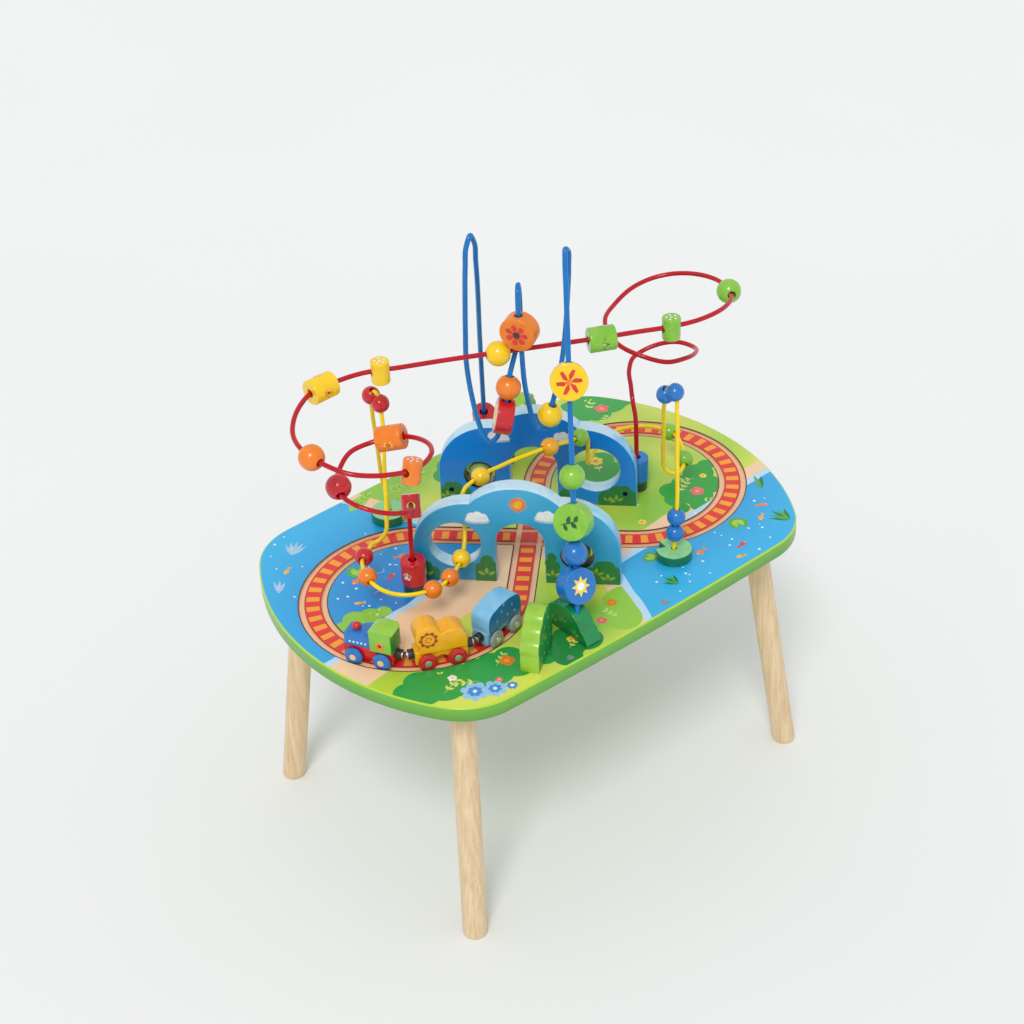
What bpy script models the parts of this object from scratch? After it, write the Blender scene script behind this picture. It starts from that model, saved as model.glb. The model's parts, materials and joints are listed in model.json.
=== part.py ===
"""Play table with three bead wires, two bridge panels and a small train on a grooved track.

Units are metres, +Z is up and X runs along the long side of the table. The origin is on the
floor, under the middle of the table top. The lists of route points are in millimetres from
the middle of the table top's surface, because the wires are bent freehand.
"""

import math

import bmesh
import bpy
from mathutils import Matrix, Vector

MM = 0.001
GAP = 0.0003  # between touching pieces
CUT_MARGIN = 0.001  # of a cutter beyond the face that it opens

# Table top
TOP_HEIGHT = 0.320
BOARD_LENGTH = 0.600
BOARD_WIDTH = 0.400
BOARD_THICKNESS = 0.018
END_RADIUS = 0.290
SIDE_RADIUS = 5.000
CORNER_RADIUS = 0.075

# Track: two loops joined by straight runs that cross at the middle
LOOP_RADIUS = 0.111
BAND_WIDTH = 0.018
GROOVE_WIDTH = 0.006
GROOVE_DEPTH = 0.0035

# Legs
LEG_DIAMETER = 0.027
LEG_TOP_X = 0.208
LEG_TOP_Y = 0.140
LEG_SPREAD_X = 0.028
LEG_SPREAD_Y = 0.032
LEG_FOOT_CHAMFER = 0.002
STUD_DIAMETER = 0.008
STUD_LENGTH = 0.012

# Bridge panels
BRIDGE_LENGTH = 0.222
BRIDGE_THICKNESS = 0.0185
BRIDGE_DISTANCE = 0.0735  # from the middle of the table to the middle of the panel
BRIDGE_SHIFT = 0.004  # of the panel's middle from the track, towards its window
BRIDGE_TURN = 45.7  # degrees
SIDE_HUMP_RADIUS = 0.0595
SIDE_HUMP_HEIGHT = 0.041  # of the hump's centre
MIDDLE_HUMP_RADIUS = 0.066
MIDDLE_HUMP_HEIGHT = 0.055
ARCH_WIDTH = 0.053
ARCH_SPRING = 0.0495
WINDOW_RADIUS = 0.028
WINDOW_PLACE = 0.065
WINDOW_HEIGHT = 0.047
SPINNER_HOLE_RADIUS = 0.0175
SPINNER_PLACE = 0.065
SPINNER_HEIGHT = 0.0365
SPINNER_DIAMETER = 0.027
SPINNER_BORE = 0.0036
PIN_DIAMETER = 0.003
PIN_SEAT = 0.006
PEG_RADIUS = 0.003
PEG_DEPTH = 0.004
PEG_PLACE = 0.098
PEG_HEIGHT = 0.016

# Hill panels that the ends of the blue wire stand in
HILL_X = 0.072
HILL_THICKNESS = 0.020
HILL_OUTER_Y = 0.191
HILL_LENGTH = 0.067
HILL_HEIGHT = 0.033

# Bush panels
BUSH_X = 0.129
BUSH_Y = 0.166
BUSH_TURN = 35.0
BUSH_LENGTH = 0.052
BUSH_HEIGHT = 0.058
BUSH_THICKNESS = 0.020

# Lily pads and round feet
LILY_X = 0.092
LILY_Y = 0.135
LILY_DIAMETER = 0.040
LILY_HEIGHT = 0.011
LILY_NOTCH = 0.010
LILY_NOTCH_TURN = 20.0  # degrees, of the notch's edges from its middle
LILY_TURN = 60.0  # degrees
FOOT_X = 0.152
FOOT_Y = 0.009
FOOT_DIAMETER = 0.024
FOOT_HEIGHT = 0.0115

# Wires
RED_WIRE = 0.0052
YELLOW_WIRE = 0.0046
BLUE_WIRE = 0.0056
SOCKET_DEPTH = 0.010
SOCKET_PLAY = 0.0005
WIRE_SAG = 0.0002  # of a straight run between two points from the smooth wire
STEEP = 0.02  # sine of the slope from upright below which a bead doesn't hang on its wire

# Beads
BALL = 0.027
SMALL_BALL = 0.020
BARREL = 0.027
BARREL_LENGTH = 0.029
DOTTED = 0.020
DOTTED_LENGTH = 0.025
DISC = 0.039
DISC_THICKNESS = 0.018
BORE = 0.0092
SMALL_BORE = 0.0076
BORE_SIDES = 12

# Train
WHEEL_DIAMETER = 0.020
WHEEL_WIDTH = 0.0052
WHEEL_RIM = 0.0022
WHEEL_SHOULDER = 0.66  # of the wheel's radius, where the tread starts to round
AXLE_DIAMETER = 0.003
AXLE_BORE = 0.0042
WHEELBASE = 0.0315
CAR_LENGTH = 0.0555
CAR_WIDTH = 0.024
CHASSIS_WIDTH = 0.0180
CAR_CLEARANCE = 0.0022
COUPLER_DIAMETER = 0.011
COUPLER_LENGTH = 0.0062
MAGNET_DIAMETER = 0.0075
MAGNET_LENGTH = 0.0016
COUPLER_HEIGHT = 0.0125

# Car bodies, X forwards from the middle of the car and heights from the table's surface
BODY_FLOOR = 0.018
CHASSIS_TOP = 0.019
BODY_INSET = 0.001  # of a body from the end of its chassis
BOILER_WIDTH = 0.020
BOILER_TOP = 0.0345
BOILER_REAR = -0.004
CAB_FRONT = -0.003
CAB_EAVES = 0.042
ROOF_RISE = 0.0045
ROOF_OVERHANG = 0.0012
ROOF_LIP = 0.0004  # of the roof's ends below the eaves
DOME_DIAMETER = 0.0095
DOME_X = 0.0153
DOME_SINK = 0.0017  # of the dome's ball into the boiler
HEAD_RADIUS = 0.0135
HEAD_X = 0.0133
HEAD_HEIGHT = 0.037
BACK_RADIUS = 0.0158
BACK_X = -0.0117
BACK_HEIGHT = 0.027
REAR_BODY_TOP = 0.045
ENGINE_ANGLE = -151.5
MAGNET_PLAY = 0.00006  # of each magnet's inner rim from where it would meet the next one


LOOP_X = LOOP_RADIUS * math.sqrt(2.0)
CAR_RADIUS = math.sqrt(LOOP_RADIUS ** 2 - (WHEELBASE / 2) ** 2)  # of a car's middle on the loop
COUPLER_REACH = CAR_LENGTH / 2 + COUPLER_LENGTH + MAGNET_LENGTH
CAR_PITCH = 2 * math.degrees(math.atan2(COUPLER_REACH + MAGNET_PLAY,
                                        CAR_RADIUS - MAGNET_DIAMETER / 2))
GROOVE_PLACE = (BAND_WIDTH + GROOVE_WIDTH) / 2
BOARD_BOTTOM = TOP_HEIGHT - BOARD_THICKNESS
SEAT = TOP_HEIGHT + GAP

# Half of the red wire, from its left foot to the middle of the table
RED_HALF = [
    (-152, 9, -9), (-152, 9, 30), (-152, 9, 70), (-151, 9, 97), (-152, 4, 112), (-160, -8, 124),
    (-172, -24, 132), (-185, -32, 139), (-200, -30, 144), (-216, -20, 150), (-227, -3, 155),
    (-229, 10, 157), (-226, 26, 160), (-210, 42, 167), (-189, 51, 174), (-165, 47, 177),
    (-144, 27, 185), (-136, 3, 190), (-139, -20, 195), (-151, -39, 199), (-179, -54, 202),
    (-209, -57, 210), (-231, -51, 215), (-249, -38, 219), (-262, -13, 224), (-266, 14, 227),
    (-257, 47, 229), (-231, 73, 236), (-203, 84, 240), (-179, 83, 240), (-152, 77, 241),
    (-111, 57, 241), (-70, 37, 241), (-30, 16, 241), (0, 0, 241),
]

# Half of the yellow wire, from the left lily pad through the window to the middle
YELLOW_HALF = [
    (-92, 135, -9), (-92, 135, 13), (-94, 134, 28), (-100, 131, 60), (-107, 124, 115), (-115, 115, 165),
    (-118, 109, 187), (-117, 104, 192), (-116, 99, 187), (-118, 93, 170), (-133, 75, 114),
    (-146, 60, 68), (-151, 57, 50), (-157, 60, 42), (-166, 62, 39), (-177, 57, 37),
    (-186, 51, 38), (-198, 36, 43), (-207, 18, 46), (-211, 0, 44), (-206, -23, 42),
    (-193, -38, 41), (-176, -46, 41), (-160, -48, 40), (-146, -44, 40), (-128, -35, 39),
    (-112, -24, 40), (-99, -13, 45), (-91, -5, 56), (-87, 1, 71), (-86, 3, 84), (-85, 4, 94),
    (-80, 5, 100), (-70, 6, 103), (-57, 7, 104), (-46, 6, 106), (-34, 4, 107), (-15, 2, 108), (0, 0, 108),
]

# The blue wire, from the back hill panel to the front one
BLUE_ROUTE = [
    (75, 168.5, 24), (70, 162, 42), (28, 106, 190), (-12, 52, 330), (-18, 45, 356),
    (-25, 42, 367), (-32, 40, 358), (-35, 40, 335), (-34, 45, 296), (-34, 48, 256),
    (-36, 47, 218), (-38, 38, 180), (-39, 27, 152), (-38, 20, 139), (-35, 15, 134),
    (-31, 11, 138), (-27, 8, 148), (-22, 5, 166), (-18, 3, 193), (-13, 4, 212), (-1, 7, 236),
    (6, 8, 254), (8, 8, 275), (8.2, 8, 304), (6.2, 6, 312), (1.5, 1, 316), (-3.2, -4, 312),
    (-5.2, -6, 304), (-4, -6, 266), (-3, -6, 238), (0, -4, 205), (5, -3, 175), (9, -5, 153),
    (12, -9, 143), (15, -14, 143), (18, -18, 154), (21, -23, 175), (25, -31, 210),
    (28, -39, 260), (31, -42, 310), (33, -43, 345), (32, -44, 362), (26, -47, 367),
    (21, -52, 358), (14.4, -60, 335), (-24, -106, 202), (-70, -162, 42), (-75, -168.3, 24),
]

PARTS = "play_table"
CUTTERS = "play_table_cutters"


def clear_scene():
    for obj in list(bpy.data.objects):
        bpy.data.objects.remove(obj, do_unlink=True)


def collection(name):
    found = bpy.data.collections.get(name)
    if found is None:
        found = bpy.data.collections.new(name)
        bpy.context.scene.collection.children.link(found)
    return found


def linear(channel):
    value = channel / 255
    return value / 12.92 if value <= 0.04045 else ((value + 0.055) / 1.055) ** 2.4


def material(name, colour, roughness=0.35, metallic=0.0):
    """A material from an sRGB colour written as six hexadecimal digits."""
    found = bpy.data.materials.get(name)
    if found:
        return found
    found = bpy.data.materials.new(name)
    found.use_nodes = True
    shader = found.node_tree.nodes["Principled BSDF"]
    channels = [linear(int(colour[i:i + 2], 16)) for i in (0, 2, 4)]
    shader.inputs["Base Color"].default_value = (*channels, 1.0)
    shader.inputs["Roughness"].default_value = roughness
    shader.inputs["Metallic"].default_value = metallic
    found.diffuse_color = (*channels, 1.0)
    return found


def add_object(name, mesh, cutter=False):
    obj = bpy.data.objects.new(name, mesh)
    collection(CUTTERS if cutter else PARTS).objects.link(obj)
    if cutter:
        obj.hide_render = True
        obj.display_type = "WIRE"
    return obj


def realised(obj):
    """The object with its modifiers or its curve made a plain mesh, caps welded."""
    matrix = world(obj)
    graph = bpy.context.evaluated_depsgraph_get()
    mesh = bpy.data.meshes.new_from_object(obj.evaluated_get(graph))
    edit = bmesh.new()
    edit.from_mesh(mesh)
    bmesh.ops.remove_doubles(edit, verts=edit.verts, dist=1e-6)
    edit.to_mesh(mesh)
    edit.free()
    name = obj.name
    cutter = obj.hide_render
    bpy.data.objects.remove(obj, do_unlink=True)
    new = add_object(name, mesh, cutter)
    new.matrix_world = matrix
    return new


def apply_place(obj):
    """Moves the mesh to world coordinates and leaves the object at the origin."""
    obj.data.transform(world(obj))
    obj.matrix_world = Matrix.Identity(4)
    return obj


def world(obj):
    bpy.context.view_layer.update()
    return obj.matrix_world.copy()


def boolean(obj, other, operation):
    modifier = obj.modifiers.new(operation.lower(), "BOOLEAN")
    modifier.operation = operation
    modifier.solver = "EXACT"
    modifier.object = other


def cut(obj, *cutters):
    for cutter in cutters:
        boolean(obj, cutter, "DIFFERENCE")
    obj = realised(obj)
    for cutter in cutters:
        bpy.data.objects.remove(cutter, do_unlink=True)
    return obj


def join(obj, *others):
    """One body from overlapping bodies."""
    for other in others:
        boolean(obj, other, "UNION")
    obj = realised(obj)
    for other in others:
        bpy.data.objects.remove(other, do_unlink=True)
    return obj


def finish(obj, look, sharp=35.0):
    obj.data.materials.clear()
    obj.data.materials.append(look)
    obj.data.shade_smooth()
    obj.data.set_sharp_from_angle(angle=math.radians(sharp))
    return obj


# Outlines


def arc(centre, radius, start, end, count):
    """Points of an arc from start to end degrees, both ends included."""
    points = []
    for i in range(count + 1):
        angle = math.radians(start + (end - start) * i / count)
        points.append((centre[0] + radius * math.cos(angle), centre[1] + radius * math.sin(angle)))
    return points


def ring(centre, radius, count):
    """Points of a full circle."""
    return arc(centre, radius, 0.0, 360.0 - 360.0 / count, count - 1)


def bulged(corners, count=5):
    """A closed outline. Each corner is (x, y, bulge), and the side after it is an arc whose
    sagitta is bulge times half the side, outwards on a counter-clockwise outline."""
    points = []
    for i, (x, y, bulge) in enumerate(corners):
        following = corners[(i + 1) % len(corners)]
        points.append((x, y))
        if not bulge:
            continue
        half = Vector((following[0] - x, following[1] - y)) / 2
        outwards = Vector((half.y, -half.x))
        angle = 2 * math.atan(bulge)
        for k in range(1, count):
            turn = angle * (2 * k / count - 1)
            along = math.sin(turn) / math.sin(angle)
            out = (math.cos(turn) - math.cos(angle)) / math.sin(angle)
            place = Vector((x, y)) + half * (1 + along) + outwards * out
            points.append(tuple(place))
    return points


def plate(name, outlines, thickness, cutter=False):
    """A flat outline in XY, with holes, thickened to both sides of z = 0."""
    curve = bpy.data.curves.new(name, "CURVE")
    curve.dimensions = "2D"
    curve.fill_mode = "BOTH"
    curve.extrude = thickness / 2
    for outline in outlines:
        spline = curve.splines.new("POLY")
        spline.points.add(len(outline) - 1)
        spline.use_cyclic_u = True
        for point, (x, y) in zip(spline.points, outline):
            point.co = (x, y, 0, 1)
    return realised(add_object(name, curve, cutter))


def upright(obj, centre, turn):
    """Stands a plate up on its outline's X axis: its own z becomes its facing direction."""
    obj.matrix_world = (
        Matrix.Translation(centre)
        @ Matrix.Rotation(math.radians(turn), 4, "Z")
        @ Matrix.Rotation(math.pi / 2, 4, "X")
    )
    return obj


def cylinder(name, radius, start, end, sides=16, cutter=False):
    """A cylinder between two points."""
    start = Vector(start)
    end = Vector(end)
    mesh = bpy.data.meshes.new(name)
    edit = bmesh.new()
    bmesh.ops.create_cone(
        edit, cap_ends=True, segments=sides, radius1=radius, radius2=radius,
        depth=(end - start).length,
    )
    edit.to_mesh(mesh)
    edit.free()
    turn = (end - start).to_track_quat("Z", "Y").to_matrix().to_4x4()
    mesh.transform(Matrix.Translation((start + end) / 2) @ turn)
    return add_object(name, mesh, cutter)


def turned(name, profile, sides, closed=False, cutter=False):
    """A profile of (radius, height) points, down the outer side, turned about Z."""
    mesh = bpy.data.meshes.new(name)
    edges = [(i, i + 1) for i in range(len(profile) - 1)]
    if closed:
        edges.append((len(profile) - 1, 0))
    mesh.from_pydata([(radius, 0.0, height) for radius, height in profile], edges, [])
    obj = add_object(name, mesh, cutter)
    screw = obj.modifiers.new("turn", "SCREW")
    screw.steps = sides
    screw.render_steps = sides
    screw.use_merge_vertices = True
    screw.merge_threshold = 1e-6
    return realised(obj)


def half_turned(obj, name):
    """A copy turned by half a turn about the middle of the table."""
    new = add_object(name, obj.data.copy())
    new.matrix_world = Matrix.Rotation(math.pi, 4, "Z") @ world(obj)
    return new


# Wires


def smooth(points):
    """A smooth curve through the points, in world coordinates, with a point each millimetre."""
    knots = [Vector((x * MM, y * MM, z * MM + TOP_HEIGHT)) for x, y, z in points]
    lengths = [(b - a).length for a, b in zip(knots, knots[1:])]
    tangents = [(knots[1] - knots[0]) / lengths[0]]
    for i in range(1, len(knots) - 1):
        before, after = lengths[i - 1], lengths[i]
        first = (knots[i] - knots[i - 1]) / before
        second = (knots[i + 1] - knots[i]) / after
        tangents.append((first * after + second * before) / (before + after))
    tangents.append((knots[-1] - knots[-2]) / lengths[-1])
    path = []
    for i, length in enumerate(lengths):
        steps = max(2, round(length / MM))
        for k in range(steps):
            t = k / steps
            path.append(
                knots[i] * (2 * t ** 3 - 3 * t ** 2 + 1)
                + tangents[i] * length * (t ** 3 - 2 * t ** 2 + t)
                + knots[i + 1] * (3 * t ** 2 - 2 * t ** 3)
                + tangents[i + 1] * length * (t ** 3 - t ** 2)
            )
    path.append(knots[-1])
    return path


def thinned(path):
    """The points of a smooth path that keep the runs between them within WIRE_SAG of it."""
    kept = [path[0]]
    turned_by = 0.0
    for before, here, after in zip(path, path[1:], path[2:]):
        turned_by += (here - before).angle(after - here, 0.0)
        if turned_by * (here - kept[-1]).length / 8 >= WIRE_SAG:
            kept.append(here)
            turned_by = 0.0
    kept.append(path[-1])
    return kept


def whole(half):
    """The route and its copy at half a turn, from end to end."""
    return half + [(-x, -y, z) for x, y, z in reversed(half[:-1])]


def wire(name, path, diameter, look):
    curve = bpy.data.curves.new(name, "CURVE")
    curve.dimensions = "3D"
    curve.bevel_depth = diameter / 2
    curve.bevel_resolution = 2
    curve.use_fill_caps = True
    points = thinned(path)
    spline = curve.splines.new("POLY")
    spline.points.add(len(points) - 1)
    for point, place in zip(spline.points, points):
        point.co = (*place, 1)
    return finish(realised(add_object(name, curve)), look)


def on_wire(path, hint, length, play):
    """(centre, direction) of a bead that hangs on the wire, nearest to the hint.

    The bead is length long, and play is the room that its bore leaves round the wire.
    """
    target = Vector((hint[0] * MM, hint[1] * MM, hint[2] * MM + TOP_HEIGHT))
    middle = min(range(1, len(path) - 1), key=lambda i: (path[i] - target).length)
    tangent = (path[middle + 1] - path[middle - 1]).normalized()
    here = path[middle] + tangent * (target - path[middle]).dot(tangent)
    first = last = middle
    while first > 0 and (path[first] - here).length < length / 2:
        first -= 1
    while last < len(path) - 1 and (path[last] - here).length < length / 2:
        last += 1
    inside = path[first:last + 1]
    along = (inside[-1] - inside[0]).normalized()
    offsets = [(point - here) - along * (point - here).dot(along) for point in inside]
    centre = (offsets[0] + offsets[len(offsets) // 2] + offsets[-1]) / 3
    down = Vector((0.0, 0.0, -1.0))
    down -= along * down.dot(along)
    drop = 0.0
    while down.length > STEEP and all(
        (offset - centre - down.normalized() * drop).length < play for offset in offsets
    ):
        drop += GAP / 4
    if drop:
        centre += down.normalized() * (drop - GAP / 4)
    return here + centre, along


# Bead forms, each with its bore along Z


def ball_profile(diameter, bore, count=5):
    radius = diameter / 2
    top = math.acos(bore / 2 / radius)
    points = []
    for i in range(count + 1):
        angle = top * (1 - 2 * i / count)
        points.append((radius * math.cos(angle), radius * math.sin(angle)))
    return points


def ball(name, diameter, bore):
    return turned(name, ball_profile(diameter, bore), BORE_SIDES, closed=True)


def barrel(name, chamfer=0.0012):
    radius = BARREL / 2
    half = BARREL_LENGTH / 2
    profile = [
        (BORE / 2, half), (radius - chamfer, half), (radius, half - chamfer),
        (radius, chamfer - half), (radius - chamfer, -half), (BORE / 2, -half),
    ]
    return turned(name, profile, BORE_SIDES, closed=True)


def cross_bored(name, diameter, length, chamfer=0.001, sides=16):
    """A short cylinder whose own axis is Y, bored across along Z."""
    radius = diameter / 2
    half = length / 2
    profile = [
        (0.0, half), (radius - chamfer, half), (radius, half - chamfer),
        (radius, chamfer - half), (radius - chamfer, -half), (0.0, -half),
    ]
    obj = turned(name, profile, sides)
    obj.data.transform(Matrix.Rotation(-math.pi / 2, 4, "X"))
    return cut(obj, cylinder(name + "_bore", BORE / 2, (0, 0, -radius * 1.5), (0, 0, radius * 1.5),
                             BORE_SIDES, cutter=True))


def bead(name, form, path, hint, look, facing=(0, 0, 1)):
    """A bead on a wire, its bore along the wire and its Y axis towards facing."""
    route, thickness = path
    bore = SMALL_BORE if form == "small_ball" else BORE
    play = (bore * math.cos(math.pi / BORE_SIDES) - thickness) / 2 - GAP * 2
    if form == "ball":
        obj = ball(name, BALL, BORE)
        length = BALL
    elif form == "small_ball":
        obj = ball(name, SMALL_BALL, SMALL_BORE)
        length = SMALL_BALL
    elif form == "barrel":
        obj = barrel(name)
        length = BARREL_LENGTH
    elif form == "dotted":
        obj = cross_bored(name, DOTTED, DOTTED_LENGTH)
        length = DOTTED
    else:
        obj = cross_bored(name, DISC, DISC_THICKNESS, sides=20)
        length = DISC
    centre, along = on_wire(route, hint, length, play)
    front = (Vector(facing) - along * along.dot(Vector(facing))).normalized()
    turn = Matrix((front.cross(along), front, along)).transposed()
    obj.matrix_world = Matrix.Translation(centre) @ turn.to_4x4()
    return finish(obj, look)


# The table


def tangent_corner(centre_a, radius_a, centre_b, radius_b, radius):
    """Centre of a corner arc that lies inside two large arcs and touches both."""
    a = radius_a - radius
    b = radius_b - radius
    between = Vector(centre_b) - Vector(centre_a)
    span = between.length
    along = (a * a - b * b + span * span) / (2 * span)
    off = math.sqrt(a * a - along * along)
    unit = between / span
    side = Vector((-unit.y, unit.x))
    found = [Vector(centre_a) + unit * along + side * sign * off for sign in (1, -1)]
    return max(found, key=lambda point: point.x)


def board_outline():
    end = (BOARD_LENGTH / 2 - END_RADIUS, 0.0)
    side = (0.0, BOARD_WIDTH / 2 - SIDE_RADIUS)
    corner = tangent_corner(end, END_RADIUS, side, SIDE_RADIUS, CORNER_RADIUS)
    end_angle = math.degrees(math.atan2(corner.y - end[1], corner.x - end[0]))
    side_angle = math.degrees(math.atan2(corner.y - side[1], corner.x - side[0]))
    quarter = arc(end, END_RADIUS, 0.0, end_angle, 4)
    quarter += arc(corner, CORNER_RADIUS, end_angle, side_angle, 6)[1:]
    quarter += arc(side, SIDE_RADIUS, side_angle, 90.0, 2)[1:]
    upper = quarter + [(-x, y) for x, y in reversed(quarter[:-1])]
    return upper + [(x, -y) for x, y in reversed(upper[1:-1])]


def loop_outline(side, offset):
    """One loop of the track as a closed outline, moved outwards by offset."""
    tip = -side * offset * math.sqrt(2.0)
    bend = arc((0.0, 0.0), LOOP_RADIUS + offset, -135.0, 135.0, 40)
    return [(side * (LOOP_X + x), side * y) for x, y in bend] + [(tip, 0.0)]


def groove_cutters():
    cutters = []
    depth = GROOVE_DEPTH * 2
    for side in (-1, 1):
        for place in (GROOVE_PLACE, -GROOVE_PLACE):
            outlines = [
                loop_outline(side, place + GROOVE_WIDTH / 2),
                loop_outline(side, place - GROOVE_WIDTH / 2),
            ]
            cutter = plate(f"groove_{len(cutters)}", outlines, depth, cutter=True)
            cutter.location.z = TOP_HEIGHT
            cutters.append(cutter)
    return cutters


def socket_cutter(name, x, y, diameter):
    bottom = TOP_HEIGHT - SOCKET_DEPTH
    return cylinder(name, diameter / 2 + SOCKET_PLAY, (x, y, bottom), (x, y, TOP_HEIGHT + CUT_MARGIN),
                    12, cutter=True)


def leg_places():
    return [(sx * LEG_TOP_X, sy * LEG_TOP_Y, sx, sy) for sx in (-1, 1) for sy in (-1, 1)]


def table_top():
    board = plate("table_top", [board_outline()], BOARD_THICKNESS)
    board.location.z = TOP_HEIGHT - BOARD_THICKNESS / 2
    cutters = groove_cutters()
    for side in (-1, 1):
        cutters.append(socket_cutter(f"foot_socket_{side}", side * FOOT_X, -side * FOOT_Y, RED_WIRE))
        cutters.append(
            socket_cutter(f"lily_socket_{side}", side * LILY_X, -side * LILY_Y, YELLOW_WIRE))
    for i, (x, y, _, _) in enumerate(leg_places()):
        depth = BOARD_BOTTOM + STUD_LENGTH
        cutters.append(cylinder(f"stud_socket_{i}", STUD_DIAMETER / 2 + GAP,
                                (x, y, BOARD_BOTTOM - CUT_MARGIN), (x, y, depth), 12, cutter=True))
    return finish(cut(board, *cutters), material("painted_board", "4FA62C", 0.4))


def leg(name, x, y, side_x, side_y):
    """A round leg with its hanger bolt, raked outwards in both directions."""
    radius = LEG_DIAMETER / 2
    top = BOARD_BOTTOM - GAP
    stud_top = BOARD_BOTTOM + STUD_LENGTH - GAP
    profile = [
        (0.0, stud_top), (STUD_DIAMETER / 2, stud_top), (STUD_DIAMETER / 2, top), (radius, top),
        (radius, LEG_FOOT_CHAMFER), (radius - LEG_FOOT_CHAMFER, 0.0), (0.0, 0.0),
    ]
    obj = turned(name, profile, 20)
    for vertex in obj.data.vertices:
        drop = max(0.0, top - vertex.co.z) / top
        vertex.co.x += x + side_x * LEG_SPREAD_X * drop
        vertex.co.y += y + side_y * LEG_SPREAD_Y * drop
    return finish(obj, material("beech", "E0C9A6", 0.5))


# Panels that stand on the board


def bridge_outline():
    """The top edge of a bridge panel, three humps, from its right foot over to its left."""
    side_x = BRIDGE_LENGTH / 2 - SIDE_HUMP_RADIUS
    side = Vector((side_x, SIDE_HUMP_HEIGHT))
    middle = Vector((0.0, MIDDLE_HUMP_HEIGHT))
    between = middle - side
    span = between.length
    along = (SIDE_HUMP_RADIUS ** 2 - MIDDLE_HUMP_RADIUS ** 2 + span ** 2) / (2 * span)
    off = math.sqrt(SIDE_HUMP_RADIUS ** 2 - along ** 2)
    unit = between / span
    meet = side + unit * along + Vector((unit.y, -unit.x)) * off
    side_end = math.degrees(math.atan2(meet.y - side.y, meet.x - side.x))
    middle_start = math.degrees(math.atan2(meet.y - middle.y, meet.x - middle.x))
    right = arc(side, SIDE_HUMP_RADIUS, 0.0, side_end, 8)
    right += arc(middle, MIDDLE_HUMP_RADIUS, middle_start, 90.0, 4)[1:]
    return right + [(-x, y) for x, y in reversed(right[:-1])]


def arch_outline():
    half = ARCH_WIDTH / 2
    return arc((BRIDGE_SHIFT, ARCH_SPRING), half, 180.0, 0.0, 12)


def bridge_place():
    """World place of the front panel's middle, at the table's surface."""
    facing = Matrix.Rotation(math.radians(-BRIDGE_TURN), 3, "Z") @ Vector((0.0, -1.0, 0.0))
    right = Matrix.Rotation(math.radians(-BRIDGE_TURN), 3, "Z") @ Vector((1.0, 0.0, 0.0))
    return facing * BRIDGE_DISTANCE - right * BRIDGE_SHIFT + Vector((0.0, 0.0, SEAT))


def bridge(name):
    """The front panel: its window is on the left and its spinner on the right."""
    top = bridge_outline()
    arch = arch_outline()
    outline = [(BRIDGE_LENGTH / 2, 0.0)] + top + [(-BRIDGE_LENGTH / 2, 0.0)]
    outline += [(arch[0][0], 0.0)] + arch + [(arch[-1][0], 0.0)]
    window = ring((-WINDOW_PLACE, WINDOW_HEIGHT), WINDOW_RADIUS, 24)
    hole = ring((SPINNER_PLACE, SPINNER_HEIGHT), SPINNER_HOLE_RADIUS, 16)
    panel = plate(name, [outline, window, hole], BRIDGE_THICKNESS)
    half = BRIDGE_THICKNESS / 2
    cutters = []
    for side in (-1, 1):
        cutters.append(cylinder(f"{name}_peg_{side}", PEG_RADIUS,
                                (side * PEG_PLACE, PEG_HEIGHT, PEG_DEPTH - half),
                                (side * PEG_PLACE, PEG_HEIGHT, -half - CUT_MARGIN), 10,
                                cutter=True))
    pin_top = SPINNER_HEIGHT + SPINNER_HOLE_RADIUS + PIN_SEAT + GAP
    cutters.append(cylinder(f"{name}_pin_hole", PIN_DIAMETER / 2 + GAP,
                            (SPINNER_PLACE, -CUT_MARGIN, 0.0), (SPINNER_PLACE, pin_top, 0.0),
                            10, cutter=True))
    panel = cut(panel, *cutters)
    upright(panel, bridge_place(), -BRIDGE_TURN)
    return finish(panel, material("painted_panel", "3FA9D6", 0.4))


def spinner_centre():
    right = Matrix.Rotation(math.radians(-BRIDGE_TURN), 3, "Z") @ Vector((1.0, 0.0, 0.0))
    return bridge_place() + right * SPINNER_PLACE + Vector((0.0, 0.0, SPINNER_HEIGHT))


def spinner(name):
    obj = ball(name, SPINNER_DIAMETER, SPINNER_BORE)
    obj.location = spinner_centre()
    return finish(obj, material("olive_lacquer", "9DB668", 0.3))


def spinner_pin(name):
    centre = spinner_centre()
    bottom = Vector((centre.x, centre.y, SEAT))
    reach = SPINNER_HOLE_RADIUS + PIN_SEAT
    obj = cylinder(name, PIN_DIAMETER / 2, bottom, centre + Vector((0.0, 0.0, reach)), 10)
    return finish(obj, material("steel", "C8CACC", 0.25, 1.0))


def hill_outline():
    """Side view of a hill panel, x from its outer end towards the middle of the table."""
    length = HILL_LENGTH
    height = HILL_HEIGHT
    return bulged([
        (length, 0.0, 0.10), (length, 0.45 * height, 0.22), (0.73 * length, 0.93 * height, 0.18),
        (0.49 * length, height, 0.16), (0.28 * length, 0.81 * height, 0.18),
        (0.16 * length, 0.48 * height, 0.25), (0.06 * length, 0.28 * height, 0.22),
        (0.0, 0.0, 0.0),
    ], 3)


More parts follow.
